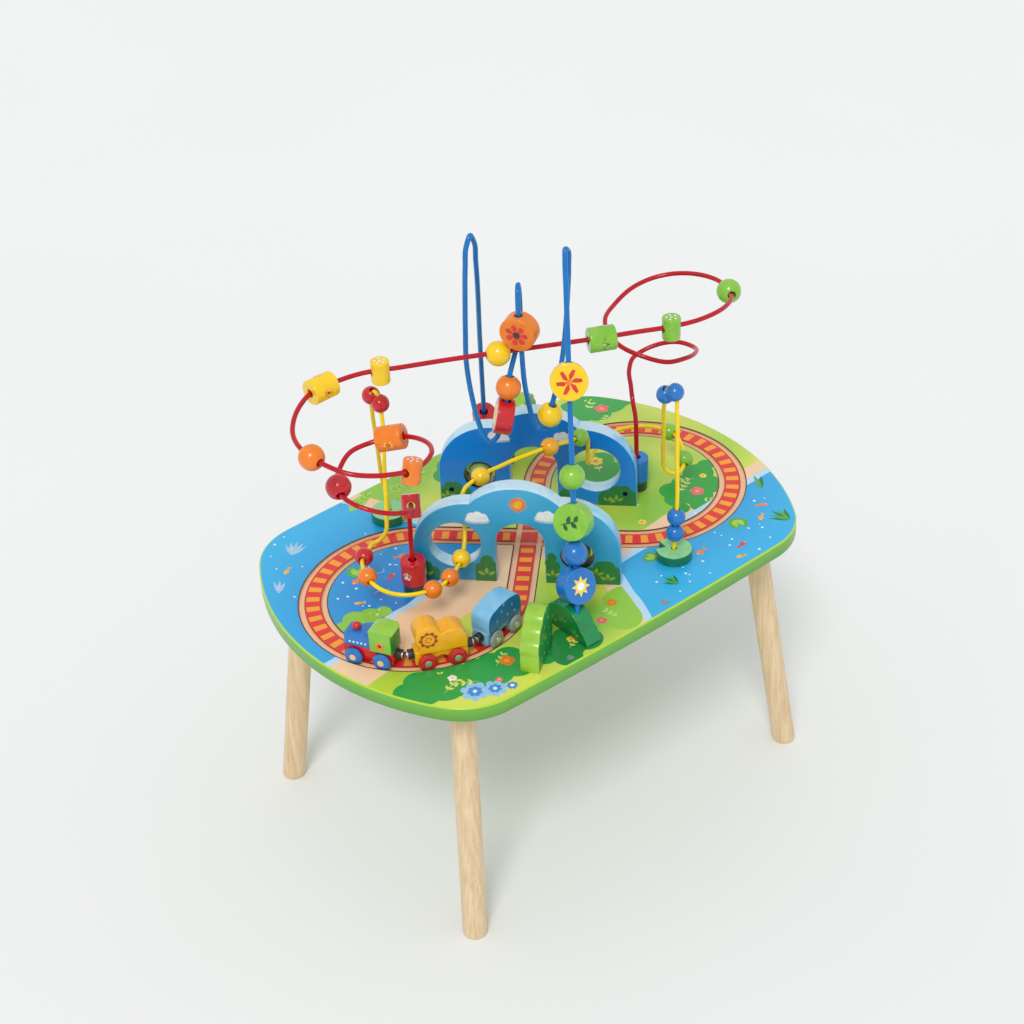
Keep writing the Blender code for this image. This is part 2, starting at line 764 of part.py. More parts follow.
def hill(name):
    """The front hill panel. The blue wire's end stands in its socket."""
    obj = plate(name, [hill_outline()], HILL_THICKNESS)
    obj = upright(obj, Vector((-HILL_X, -HILL_OUTER_Y, SEAT)), 90.0)
    apply_place(obj)
    end = Vector(BLUE_ROUTE[-1]) * MM
    before = Vector(BLUE_ROUTE[-2]) * MM
    height = Vector((0.0, 0.0, TOP_HEIGHT))
    along = (before - end).normalized()
    cutter = cylinder(f"{name}_socket", BLUE_WIRE / 2 + SOCKET_PLAY,
                      end + height - along * GAP, before + height, 12, cutter=True)
    return finish(cut(obj, cutter), material("hill_green", "0E7A3B", 0.4))


def bush_outline():
    """Side view of a bush panel, highest at its inner end."""
    length = BUSH_LENGTH
    height = BUSH_HEIGHT
    return bulged([
        (0.0, 0.0, 0.0), (length, 0.0, 0.12), (length, 0.72 * height, 0.45),
        (0.62 * length, height, 0.30), (0.36 * length, 0.86 * height, 0.35),
        (0.10 * length, 0.62 * height, 0.40), (0.0, 0.36 * height, 0.10),
    ], 4)


def bush(name):
    obj = plate(name, [bush_outline()], BUSH_THICKNESS)
    outline_start = Vector((-BUSH_X, -BUSH_Y, SEAT))
    turn = Matrix.Rotation(math.radians(BUSH_TURN), 3, "Z")
    outline_start -= turn @ Vector((BUSH_LENGTH / 2, 0.0, 0.0))
    upright(obj, outline_start, BUSH_TURN)
    return finish(obj, material("bush_green", "9CCB3B", 0.4))


def lily(name):
    """A lily pad with a notch, bored for the end of the yellow wire."""
    radius = LILY_DIAMETER / 2
    rim = arc((0.0, 0.0), radius, LILY_NOTCH_TURN, 360.0 - LILY_NOTCH_TURN, 22)
    outline = rim + [(radius - LILY_NOTCH, 0.0)]
    hole = ring((0.0, 0.0), YELLOW_WIRE / 2 + SOCKET_PLAY, 12)
    obj = plate(name, [outline, hole], LILY_HEIGHT)
    obj.location = (-LILY_X, LILY_Y, SEAT + LILY_HEIGHT / 2)
    obj.rotation_euler.z = math.radians(-LILY_TURN)
    return finish(obj, material("lily_green", "63B34A", 0.4))


def wire_foot(name):
    """A round foot under a barrel bead, bored for the end of the red wire."""
    radius = FOOT_DIAMETER / 2
    bore = RED_WIRE / 2 + SOCKET_PLAY
    chamfer = 0.0015
    profile = [
        (bore, FOOT_HEIGHT), (radius - chamfer, FOOT_HEIGHT), (radius, FOOT_HEIGHT - chamfer),
        (radius, 0.0), (bore, 0.0),
    ]
    obj = turned(name, profile, 16, closed=True)
    obj.location = (-FOOT_X, FOOT_Y, SEAT)
    return finish(obj, material("dark_foot", "1E3A2A", 0.45))


# Train


def car_frame(index):
    """World matrix of a car: X forwards round the loop, Z up, at the table's surface."""
    angle = math.radians(ENGINE_ANGLE + index * CAR_PITCH)
    centre = Vector((-LOOP_X, 0.0, TOP_HEIGHT))
    centre += Vector((math.cos(angle), math.sin(angle), 0.0)) * CAR_RADIUS
    return Matrix.Translation(centre) @ Matrix.Rotation(angle - math.pi / 2, 4, "Z")


def axle_height():
    return WHEEL_DIAMETER / 2 - GROOVE_DEPTH + GAP


def slab(name, outline, width):
    """A side view in car coordinates, extruded across the car."""
    obj = plate(name, [outline], width)
    obj.data.transform(Matrix.Rotation(math.pi / 2, 4, "X"))
    return obj


def coupler(name, side):
    half = CAR_LENGTH / 2
    cup_end = half + COUPLER_LENGTH
    height = COUPLER_HEIGHT
    cup = cylinder(name, COUPLER_DIAMETER / 2, (side * (half - MAGNET_LENGTH), 0, height),
                   (side * cup_end, 0, height), 14)
    magnet = cylinder(name + "_magnet", MAGNET_DIAMETER / 2,
                      (side * (cup_end - MAGNET_LENGTH), 0, height),
                      (side * (cup_end + MAGNET_LENGTH), 0, height), 12)
    return join(cup, magnet)


def chassis_outline(notch):
    """Lower part of a car between its wheels. The notch is the arch under the body."""
    half = CAR_LENGTH / 2
    low = CAR_CLEARANCE
    high = CHASSIS_TOP
    if not notch:
        return [(-half, low), (half, low), (half, high), (-half, high)]
    opening = arc((0.0, low), WHEELBASE * 0.26, 180.0, 0.0, 6)
    return [(-half, low)] + opening + [(half, low), (half, high), (-half, high)]


def engine_parts(name):
    front = CAR_LENGTH / 2 - BODY_INSET
    rear = -CAR_LENGTH / 2
    boiler_outline = [
        (BOILER_REAR, BODY_FLOOR), (front, BODY_FLOOR), (front, BOILER_TOP),
        (BOILER_REAR, BOILER_TOP),
    ]
    boiler = slab(name, boiler_outline, BOILER_WIDTH)
    roof_half = (CAB_FRONT - rear) / 2 + ROOF_OVERHANG
    roof_radius = (roof_half ** 2 + ROOF_RISE ** 2) / (2 * ROOF_RISE)
    roof_centre = ((CAB_FRONT + rear) / 2, CAB_EAVES - ROOF_LIP + ROOF_RISE - roof_radius)
    spread = math.degrees(math.asin(roof_half / roof_radius))
    cab_outline = [(rear, BODY_FLOOR), (CAB_FRONT, BODY_FLOOR), (CAB_FRONT, CAB_EAVES)]
    cab_outline += arc(roof_centre, roof_radius, 90.0 - spread, 90.0 + spread, 6)
    cab_outline += [(rear, CAB_EAVES)]
    cab = slab(name + "_cab", cab_outline, CAR_WIDTH)
    dome = turned(name + "_dome", ball_profile(DOME_DIAMETER, 0.0), 12)
    dome.location = (DOME_X, 0.0, BOILER_TOP + DOME_DIAMETER / 2 - DOME_SINK)
    return [boiler, cab, apply_place(dome)]


def middle_parts(name):
    half = CAR_LENGTH / 2
    head = arc((HEAD_X, HEAD_HEIGHT), HEAD_RADIUS, -50.0, 170.0, 12)
    back = arc((BACK_X, BACK_HEIGHT), BACK_RADIUS, 62.0, 180.0, 8)
    outline = [(-half + BODY_INSET, BODY_FLOOR), (half - 4 * BODY_INSET, BODY_FLOOR)] + head + back
    return [slab(name, outline, CAR_WIDTH)]


def rear_parts(name):
    half = CAR_LENGTH / 2
    end = half - BODY_INSET
    top = REAR_BODY_TOP
    outline = bulged([
        (-end, BODY_FLOOR, 0.0), (end, BODY_FLOOR, 0.08), (end, 0.73 * top, 0.40),
        (0.55 * half, 0.945 * top, 0.12), (0.05 * half, top, 0.10),
        (-0.55 * half, 0.98 * top, 0.40), (-end, 0.71 * top, 0.08),
    ], 4)
    return [slab(name, outline, CAR_WIDTH)]


def car(name, index, makers, notch, ends, look):
    """A car: chassis, body and couplers as one glued wooden piece, bored for its axles."""
    chassis = slab(name, chassis_outline(notch), CHASSIS_WIDTH)
    others = makers(name + "_body")
    others += [coupler(f"{name}_coupler_{side}", side) for side in ends]
    obj = join(chassis, *others)
    cutters = []
    for side in (-1, 1):
        place = (side * WHEELBASE / 2, 0.0, axle_height())
        reach = Vector((0.0, CAR_WIDTH, 0.0))
        cutters.append(cylinder(f"{name}_bore_{side}", AXLE_BORE / 2, Vector(place) - reach,
                                Vector(place) + reach, 10, cutter=True))
    obj = cut(obj, *cutters)
    obj.data.transform(car_frame(index))
    loop_middle = Vector((-LOOP_X, 0.0, TOP_HEIGHT))
    obj.data.transform(Matrix.Translation(-loop_middle))
    obj.location = loop_middle
    return finish(obj, look)


def wheelset(name, index, side, look):
    """Two wheels on their axle."""
    radius = WHEEL_DIAMETER / 2
    outer = GROOVE_PLACE + WHEEL_WIDTH / 2
    inner = GROOVE_PLACE - WHEEL_WIDTH / 2
    rim = WHEEL_RIM / 2
    shoulder = WHEEL_SHOULDER * radius
    half = [
        (0.0, outer), (shoulder, outer), (radius, GROOVE_PLACE + rim),
        (radius, GROOVE_PLACE - rim), (shoulder, inner), (AXLE_DIAMETER / 2, inner),
    ]
    profile = half + [(r, -z) for r, z in reversed(half)]
    obj = turned(name, profile, 14)
    obj.data.transform(Matrix.Rotation(math.pi / 2, 4, "X"))
    place = Matrix.Translation((side * WHEELBASE / 2, 0.0, axle_height()))
    obj.matrix_world = car_frame(index) @ place
    return finish(obj, look)


def train():
    makers = [
        ("engine", engine_parts, False, (-1,), "2F62B8", "2A63B8"),
        ("middle_car", middle_parts, True, (-1, 1), "F2A41F", "D8322E"),
        ("rear_car", rear_parts, True, (-1, 1), "6FB6DC", "9AA3A8"),
    ]
    for index, (name, maker, notch, ends, body, wheel) in enumerate(makers):
        car(name, index, maker, notch, ends, material(f"{name}_paint", body))
        for end, side in (("front", 1), ("rear", -1)):
            wheelset(f"{name}_{end}_wheels", index, side, material(f"{name}_wheels", wheel))


# Beads


def beads(red, yellow, blue):
    lacquer = {
        "red": material("red_lacquer", "C8202C", 0.25),
        "orange": material("orange_lacquer", "EE7A20", 0.25),
        "yellow": material("yellow_lacquer", "F4C414", 0.25),
        "green": material("green_lacquer", "8DC63F", 0.25),
        "blue": material("blue_lacquer", "2A6CB4", 0.25),
    }
    towards_viewer = (-0.615, -0.789, 0.0)
    across_view = (0.789, -0.615, 0.0)
    left_of_view = (-0.89, -0.455, 0.0)
    up = (0.0, 0.0, 1.0)
    right_of_view = (-0.138, -0.99, 0.0)
    first_barrel = (FOOT_HEIGHT + BARREL_LENGTH / 2 + 2 * GAP) / MM
    table = [
        ("red_barrel", "barrel", red, (-152, 9, first_barrel), "red", across_view),
        ("red_dotted_bead", "dotted", red, (-158, -6, 123), "red", up),
        ("red_ball", "ball", red, (-226, 26, 160), "red", up),
        ("orange_barrel", "barrel", red, (-149, 33, 183), "orange", up),
        ("orange_dotted_bead", "dotted", red, (-188, -56, 203), "orange", up),
        ("orange_ball", "ball", red, (-265, 4, 226), "orange", up),
        ("yellow_barrel", "barrel", red, (-195, 84, 240), "yellow", up),
        ("yellow_dotted_bead", "dotted", red, (-132, 67, 241), "yellow", up),
        ("yellow_ball", "ball", red, (-21, 11, 241), "yellow", up),
        ("green_barrel", "barrel", red, (77, -40, 241), "green", up),
        ("green_dotted_bead", "dotted", red, (145, -74, 242), "green", up),
        ("green_ball", "ball", red, (257, -47, 227), "green", up),
        ("blue_barrel", "barrel", red, (152, -9, first_barrel), "blue", across_view),
        ("hill_red_barrel", "barrel", blue, (67, 158, 53), "red", across_view),
        ("red_disc", "disc", blue, (-22, 5, 166), "red", across_view),
        ("orange_loop_ball", "ball", blue, (-17, 2, 200), "orange", up),
        ("orange_disc", "disc", blue, (-4, -6, 268), "orange", left_of_view),
        ("yellow_loop_ball", "ball", blue, (19, -20, 162), "yellow", up),
        ("yellow_disc", "disc", blue, (-10, -90, 247), "yellow", towards_viewer),
        ("green_loop_ball", "ball", blue, (-37, -121, 158), "green", up),
        ("green_disc", "disc", blue, (-48.8, -136.4, 116), "green", left_of_view),
        ("blue_loop_ball", "ball", blue, (-57.6, -147, 85.5), "blue", up),
        ("blue_disc", "disc", blue, (-66.3, -157.5, 55), "blue", right_of_view),
        ("red_yellow_wire_bead", "small_ball", yellow, (-186, 51, 38), "red", up),
        ("orange_front_bead", "small_ball", yellow, (-168, -47, 41), "orange", up),
        ("orange_window_bead", "small_ball", yellow, (-141, -42, 40), "orange", up),
        ("yellow_window_bead", "small_ball", yellow, (-112, -24, 40), "yellow", up),
        ("yellow_bridge_bead", "small_ball", yellow, (-57, 7, 104), "yellow", up),
        ("green_bridge_bead", "small_ball", yellow, (73, -6, 103), "green", up),
    ]
    for name, form, path, hint, colour, facing in table:
        bead(name, form, path, hint, lacquer[colour], facing)


def build():
    clear_scene()
    table_top()
    for i, (x, y, side_x, side_y) in enumerate(leg_places()):
        leg(f"leg_{i + 1}", x, y, side_x, side_y)
    for maker, front, back in (
        (bridge, "front_bridge", "back_bridge"),
        (spinner, "front_spinner", "back_spinner"),
        (spinner_pin, "front_spinner_pin", "back_spinner_pin"),
        (hill, "front_hill", "back_hill"),
        (bush, "front_bush", "back_bush"),
        (lily, "left_lily", "right_lily"),
        (wire_foot, "left_wire_foot", "right_wire_foot"),
    ):
        half_turned(maker(front), back)
    red = (smooth(whole(RED_HALF)), RED_WIRE)
    yellow = (smooth(whole(YELLOW_HALF)), YELLOW_WIRE)
    blue = (smooth(BLUE_ROUTE), BLUE_WIRE)
    wire("red_wire", *red, material("red_wire_paint", "C8102E", 0.3))
    wire("yellow_wire", *yellow, material("yellow_wire_paint", "F7D117", 0.3))
    wire("blue_wire", *blue, material("blue_wire_paint", "1C75BC", 0.3))
    beads(red, yellow, blue)
    train()


build()
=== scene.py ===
"""Looks of the wooden play table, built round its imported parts, in metres."""
import json
import math
import random

import bpy
from mathutils import Matrix, Vector


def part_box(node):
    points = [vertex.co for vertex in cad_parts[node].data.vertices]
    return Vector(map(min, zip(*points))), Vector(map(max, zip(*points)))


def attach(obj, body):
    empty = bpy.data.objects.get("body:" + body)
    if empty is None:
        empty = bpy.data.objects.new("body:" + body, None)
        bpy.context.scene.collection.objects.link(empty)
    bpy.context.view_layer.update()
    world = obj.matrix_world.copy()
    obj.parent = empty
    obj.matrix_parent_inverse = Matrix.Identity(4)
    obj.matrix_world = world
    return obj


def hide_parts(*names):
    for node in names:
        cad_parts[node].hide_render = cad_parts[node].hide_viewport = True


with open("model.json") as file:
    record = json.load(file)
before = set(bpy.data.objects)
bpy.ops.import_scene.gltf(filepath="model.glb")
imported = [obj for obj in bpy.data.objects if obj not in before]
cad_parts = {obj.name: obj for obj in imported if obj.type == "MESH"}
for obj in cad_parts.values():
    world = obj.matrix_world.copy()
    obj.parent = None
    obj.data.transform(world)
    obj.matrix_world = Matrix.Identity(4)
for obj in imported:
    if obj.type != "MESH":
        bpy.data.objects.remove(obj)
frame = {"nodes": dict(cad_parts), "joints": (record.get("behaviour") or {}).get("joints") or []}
bpy.ops.object.select_all(action="DESELECT")
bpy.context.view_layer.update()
JOINTS = {joint["child"]: joint for joint in frame["joints"]}
MM = 0.001

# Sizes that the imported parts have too
TOP = 0.320
BOARD_LENGTH = 0.600
BOARD_WIDTH = 0.400
BOARD_THICKNESS = 0.018
END_RADIUS = 0.290
SIDE_RADIUS = 5.0
CORNER_RADIUS = 0.075
LOOP_RADIUS = 0.111
LOOP_X = LOOP_RADIUS * math.sqrt(2.0)
GROOVE_IN = 0.009
GROOVE_OUT = 0.015
GROOVE_MIDDLE = 12 * MM
GROOVE_HALF = 3 * MM
GROOVE_DEPTH = 3.5 * MM
GROOVE_OVER = 2 * MM  # the cutters' reach above the board
GROOVE_TURN = 135.6  # degrees of each loop to both sides, a little more than its 135
LEG_RADIUS = 13.5 * MM
LEG_FOOT = (236 * MM, 172 * MM)
LEG_SPREAD = (28 * MM, 32 * MM)
BRIDGE_TURN = math.radians(-45.7)
BRIDGE_THICKNESS = 0.0185
BRIDGE_HALF = 0.111
BRIDGE_SHIFT = 4 * MM
BRIDGE_DISTANCE = 73.5 * MM
SIDE_HUMP_RADIUS = 59.5 * MM
SIDE_HUMP_HEIGHT = 41 * MM
MIDDLE_HUMP_RADIUS = 66 * MM
MIDDLE_HUMP_HEIGHT = 55 * MM
ARCH_RADIUS = 26.5 * MM
ARCH_SPRING = 49.5 * MM
WINDOW = (-65 * MM, 47 * MM)
WINDOW_RADIUS = 28 * MM
SPINNER = (65 * MM, 36.5 * MM)
SPINNER_HOLE = 17.5 * MM
SPINNER_RADIUS = 13.5 * MM
SPINNER_BORE = 1.8 * MM
PEG = (98 * MM, 16 * MM)
PEG_RADIUS = 3 * MM
PEG_DEPTH = 4 * MM
SEAT = TOP + 0.0003
SCENERY_THICKNESS = 20 * MM
BLUE_WIRE_END = (-75 * MM, -168.3 * MM, 24 * MM)
BLUE_WIRE_NEXT = (-70 * MM, -162 * MM, 42 * MM)
LILY_THICKNESS = 11 * MM
BALL = 27 * MM
SMALL_BALL = 20 * MM
DOTTED = 20 * MM
DOTTED_LENGTH = 25 * MM
DISC = 39 * MM
DISC_THICKNESS = 18 * MM
BARREL_RADIUS = 13.5 * MM
BARREL_HALF = 14.5 * MM
CAR_HALF = 0.02775
CAR_WIDTH = 0.024
CHASSIS_WIDTH = 18 * MM
BODY_FLOOR = 18 * MM
COUPLER_HEIGHT = 12.5 * MM
WHEELBASE = 0.0315
AXLE_HEIGHT = 0.0068
WHEEL_RADIUS = 0.010

PRINT = 0.00006  # thickness of a printed shape
PRINT_STEP = 0.004 * MM  # of each printed shape above the one before in its mesh
BOARD_SHARE = 0.975  # of the board's outline that the printed shapes keep inside
TRACK_CLEARANCE = 17.2  # of the board's printed shapes from the track's middle line, in mm


# Camera

camera_data = bpy.data.cameras.new("camera")
camera_data.sensor_width = 36.0
camera_data.lens = 75.71
camera = bpy.data.objects.new("camera", camera_data)
camera.location = (-1.19406, -1.51231, 1.7155)
camera.rotation_euler = (0.955245, 0.043007, -0.689596)
bpy.context.scene.collection.objects.link(camera)
bpy.context.scene.camera = camera
bpy.context.scene.view_settings.view_transform = "Standard"


def linear(code):
    """Linear RGBA of an sRGB colour written as six hexadecimal digits."""
    channels = []
    for i in (0, 2, 4):
        value = int(code[i:i + 2], 16) / 255
        channels.append(value / 12.92 if value <= 0.04045 else ((value + 0.055) / 1.055) ** 2.4)
    return (*channels, 1.0)


def add(tree, kind, settings=None, inputs=None):
    """A new node with its settings, each input a value or the socket it is linked to."""
    made = tree.nodes.new(kind)
    for key, value in (settings or {}).items():
        setattr(made, key, value)
    for key, value in (inputs or {}).items():
        if isinstance(value, bpy.types.NodeSocket):
            tree.links.new(value, made.inputs[key])
        else:
            made.inputs[key].default_value = value
    return made


def object_place(tree):
    return add(tree, "ShaderNodeTexCoord").outputs["Object"]


def noise(tree, place, size, detail=2.0):
    """Noise whose patches have about the size."""
    return add(tree, "ShaderNodeTexNoise", inputs={
        "Vector": place, "Scale": 1 / size, "Detail": detail}).outputs["Fac"]


def calc(tree, operation, first, second):
    inputs = {0: first} if second is None else {0: first, 1: second}
    return add(tree, "ShaderNodeMath", {"operation": operation}, inputs).outputs[0]


def vector(tree, operation, *inputs):
    return add(tree, "ShaderNodeVectorMath", {"operation": operation}, dict(enumerate(inputs)))


def remap(tree, value, low, high, start=0.0, end=1.0):
    """The value carried from the range low to high over to the range start to end."""
    return add(tree, "ShaderNodeMapRange", inputs={
        "Value": value, "From Min": low, "From Max": high, "To Min": start,
        "To Max": end}).outputs["Result"]


def blend(tree, share, first, second):
    """Two colours, each a code or a socket, mixed by the share of the second."""
    first, second = (colour if isinstance(colour, bpy.types.NodeSocket) else linear(colour)
                     for colour in (first, second))
    return add(tree, "ShaderNodeMix", {"data_type": "RGBA"}, {
        0: share, 6: first, 7: second}).outputs[2]


def ramp(tree, value, *stops):
    """Colours along the value, from stops of a position and a colour in rising order."""
    made = add(tree, "ShaderNodeValToRGB", inputs={"Fac": value})
    elements = made.color_ramp.elements
    while len(elements) < len(stops):
        elements.new(0.5)
    for element, (position, colour) in zip(elements, stops):
        element.position = position
        element.color = linear(colour)
    return made.outputs["Color"]


def upward_part(tree):
    """How far a face looks up: 1 for level, 0 for upright."""
    normal = add(tree, "ShaderNodeNewGeometry").outputs["Normal"]
    return add(tree, "ShaderNodeSeparateXYZ", inputs={0: normal}).outputs[2]


def blank(name, roughness, metallic=0.0, coat=0.0, ior=1.5):
    look = bpy.data.materials.new(name)
    look.use_nodes = True
    shader = look.node_tree.nodes["Principled BSDF"]
    values = {"Roughness": roughness, "Metallic": metallic, "Coat Weight": coat,
              "Coat Roughness": 0.08}
    if not metallic:
        values["IOR"] = ior
    for key, value in values.items():
        shader.inputs[key].default_value = value
    return look, look.node_tree, shader


def bumped(tree, shader, height, distance):
    bump = add(tree, "ShaderNodeBump", inputs={
        "Height": height, "Distance": distance, "Strength": 1.0})
    tree.links.new(bump.outputs["Normal"], shader.inputs["Normal"])


def painted(look, colour, place, size, height):
    """The look with its colour and a fine unevenness, size and height in metres."""
    tree = look.node_tree
    shader = tree.nodes["Principled BSDF"]
    tree.links.new(colour, shader.inputs["Base Color"])
    bumped(tree, shader, noise(tree, place, size), height)
    return look


def lacquer(name, colour, shade, roughness=0.24, coat=0.4, ior=1.5):
    """Coloured lacquer on turned beech: glossy, with a soft drift of colour where the coat is
    thicker and a faint ripple that breaks up the highlights."""
    look, tree, _ = blank(name, roughness, coat=coat, ior=ior)
    place = object_place(tree)
    drift = remap(tree, noise(tree, place, 14 * MM), 0.35, 0.7, 0.0, 0.7)
    return painted(look, blend(tree, drift, colour, shade), place, 1.6 * MM, 0.008 * MM)


def coated_wire(name, colour, shade):
    """Steel wire in a thick dip coating, smooth and deep in colour."""
    return lacquer(name, colour, shade, 0.16, 0.2, 1.38)


def steel(name, colour, roughness):
    """Polished steel with fine turning marks."""
    look, tree, shader = blank(name, roughness, metallic=1.0)
    shader.inputs["Base Color"].default_value = linear(colour)
    bumped(tree, shader, noise(tree, object_place(tree), 0.5 * MM), 0.006 * MM)
    return look


def beech(name):
    """Beech under clear lacquer: straight pale grain up the leg and short darker flecks."""
    look, tree, shader = blank(name, 0.42, coat=0.15)
    grain = add(tree, "ShaderNodeMapping", inputs={
        "Vector": object_place(tree), "Scale": (1.0, 1.0, 0.04)}).outputs["Vector"]
    rings = noise(tree, grain, 4 * MM, 4.0)
    base = ramp(tree, rings, (0.30, "D8B98C"), (0.70, "EBD3AE"))
    flecks = remap(tree, noise(tree, grain, 0.9 * MM, 1.0), 0.62, 0.74, 0.0, 0.5)
    tree.links.new(blend(tree, flecks, base, "B98A5A"), shader.inputs["Base Color"])
    bumped(tree, shader, rings, 0.03 * MM)
    return look


def lobes(tree, place, circles):
    """Distance outside a union of circles, in the units of place."""
    nearest = None
    for x, y, radius in circles:
        away = vector(tree, "DISTANCE", place, (x, y, 0.0)).outputs["Value"]
        outside = calc(tree, "SUBTRACT", away, radius)
        nearest = outside if nearest is None else calc(tree, "MINIMUM", nearest, outside)
    return nearest


def over(tree, under, colour, distance, edge=0.25):
    """Colour laid over what is under it where distance is below zero, with a crisp edge."""
    return blend(tree, remap(tree, distance, edge, -edge), under, colour)


def formula(tree, values, steps):
    """Adds one math node for each step (name, operation, first, second) to the named values."""
    for name, operation, first, second in steps:
        values[name] = calc(tree, operation, values.get(first, first), values.get(second, second))
    return values


def printed_board(name):
    """The board's print under satin lacquer: water, sand and grass, round bushes and the track.
    The grooves are routed through the print, so their floors are pale wood, and the edge is a
    lime line over green sides. Its lengths are in millimetres."""
    look, tree, _ = blank(name, 0.34, coat=0.25)
    raw = object_place(tree)
    scaled = add(tree, "ShaderNodeMapping", inputs={
        "Vector": raw, "Scale": (1000, 1000, 1000)}).outputs[0]
    wander = add(tree, "ShaderNodeTexNoise", inputs={
        "Vector": scaled, "Scale": 1 / 55, "Detail": 1.0}).outputs["Color"]
    push = vector(tree, "MULTIPLY_ADD", wander, (14.0, 14.0, 0.0), scaled).outputs[0]
    flat = vector(tree, "MULTIPLY_ADD", push, (1.0, 1.0, 0.0), (-7.0, -7.0, 0.0)).outputs[0]
    exact = vector(tree, "MULTIPLY", scaled, (1.0, 1.0, 0.0)).outputs[0]
    soft = add(tree, "ShaderNodeSeparateXYZ", inputs={0: flat}).outputs
    true = add(tree, "ShaderNodeSeparateXYZ", inputs={0: scaled}).outputs
    values = {"x": soft[0], "y": soft[1], "tx": true[0], "ty": true[1], "z": true[2]}
    formula(tree, values, [
        # Left water: above a slanting shore and left of another
        ("a1", "MULTIPLY", "x", 0.17), ("a2", "SUBTRACT", "a1", "y"), ("left_1", "ADD", "a2", 24.0),
        ("b1", "MULTIPLY", "y", 0.42), ("b2", "ADD", "x", "b1"), ("left_2", "ADD", "b2", 34.0),
        ("left", "MAXIMUM", "left_1", "left_2"),
        # Right water: below a shore and right of another
        ("c1", "MULTIPLY", "x", -0.06), ("c2", "ADD", "y", "c1"), ("right_1", "ADD", "c2", 108.0),
        ("d1", "MULTIPLY", "y", 0.35), ("d2", "SUBTRACT", "d1", "x"),
        ("right_2", "ADD", "d2", 72.0), ("right", "MAXIMUM", "right_1", "right_2"),
        ("water", "MINIMUM", "left", "right"),
        ("left_shoal", "SUBTRACT", "left", 9.0), ("right_shoal", "SUBTRACT", "right", 9.0),
        ("left_sand", "SUBTRACT", "left_1", 62.0), ("left_sand_2", "SUBTRACT", "left_2", 26.0),
        ("sand_l", "MAXIMUM", "left_sand", "left_sand_2"),
        ("right_sand", "SUBTRACT", "right", 27.0),
        # Track: the loops and the straight runs, folded into one quarter
        ("ax", "ABSOLUTE", "tx", None), ("ay", "ABSOLUTE", "ty", None),
        ("skew", "SUBTRACT", "ax", "ay"), ("skew_abs", "ABSOLUTE", "skew", None),
        ("run_d", "MULTIPLY", "skew_abs", math.sqrt(0.5)),
        ("sum", "ADD", "ax", "ay"), ("run_s", "MULTIPLY", "sum", math.sqrt(0.5)),
        ("rx", "SUBTRACT", "ax", LOOP_X / MM), ("rx2", "MULTIPLY", "rx", "rx"),
        ("ay2", "MULTIPLY", "ay", "ay"), ("r2", "ADD", "rx2", "ay2"), ("r", "SQRT", "r2", None),
        ("bend", "SUBTRACT", "r", LOOP_RADIUS / MM), ("bend_d", "ABSOLUTE", "bend", None),
        ("angle", "ARCTAN2", "ay", "rx"), ("swept", "SUBTRACT", 0.75 * math.pi, "angle"),
        ("swept_mm", "MULTIPLY", "swept", LOOP_RADIUS / MM),
        ("bend_s", "ADD", "swept_mm", LOOP_RADIUS / MM),
        ("on_run", "LESS_THAN", "run_s", LOOP_RADIUS / MM),
        ("on_bend", "SUBTRACT", 1.0, "on_run"),
        ("d_a", "MULTIPLY", "run_d", "on_run"), ("d_b", "MULTIPLY", "bend_d", "on_bend"),
        ("d", "ADD", "d_a", "d_b"),
        ("s_a", "MULTIPLY", "run_s", "on_run"), ("s_b", "MULTIPLY", "bend_s", "on_bend"),
        ("s", "ADD", "s_a", "s_b"),
        ("half_on", "ADD", "s", 8.468), ("phase", "PINGPONG", "half_on", 8.468),
        ("rung_s", "SUBTRACT", "phase", 3.9), ("rung_d", "SUBTRACT", "d", 6.9),
        ("clear_middle", "SUBTRACT", 17.0, "s"),
        ("rung_1", "MAXIMUM", "rung_s", "rung_d"), ("rung", "MAXIMUM", "rung_1", "clear_middle"),
        ("band", "SUBTRACT", "d", GROOVE_IN / MM),
        ("lines", "SUBTRACT", "d", GROOVE_OUT / MM + 1.3),
        ("rails", "SUBTRACT", 8.1, "d"), ("rail_1", "MAXIMUM", "rails", "band"),
        # The grooves' floors
        ("floor", "SUBTRACT", "z", TOP / MM - 1.0),
    ])
    grass = blend(tree, remap(tree, values["tx"], -290.0, -60.0), "B5D23A", "8CC63A")
    lit = remap(tree, noise(tree, scaled, 90, 0.5), 0.4, 0.62)
    ground = blend(tree, lit, grass, "D3DF57")
    sea = blend(tree, remap(tree, values["bend"], -70.0, 70.0), "0084D6", "2CB2E8")
    for distance in ("sand_l", "right_sand"):
        ground = over(tree, ground, "F5CFA6", values[distance])
    for circles, colour in BUSHES:
        ground = over(tree, ground, colour, lobes(tree, exact, circles))
    for distance in ("left_shoal", "right_shoal"):
        ground = over(tree, ground, "BBDDF4", values[distance])
    ground = over(tree, ground, sea, values["water"])
    for circles, colour in ISLANDS:
        ground = over(tree, ground, colour, lobes(tree, exact, circles))
    for distance, colour in (("lines", "4B2E1E"), ("band", "E42A20"), ("rail_1", "A81F20"),
                             ("rung", "F7A226")):
        ground = over(tree, ground, colour, values[distance])
    ground = over(tree, ground, "F3C9A0", values["floor"], 0.1)
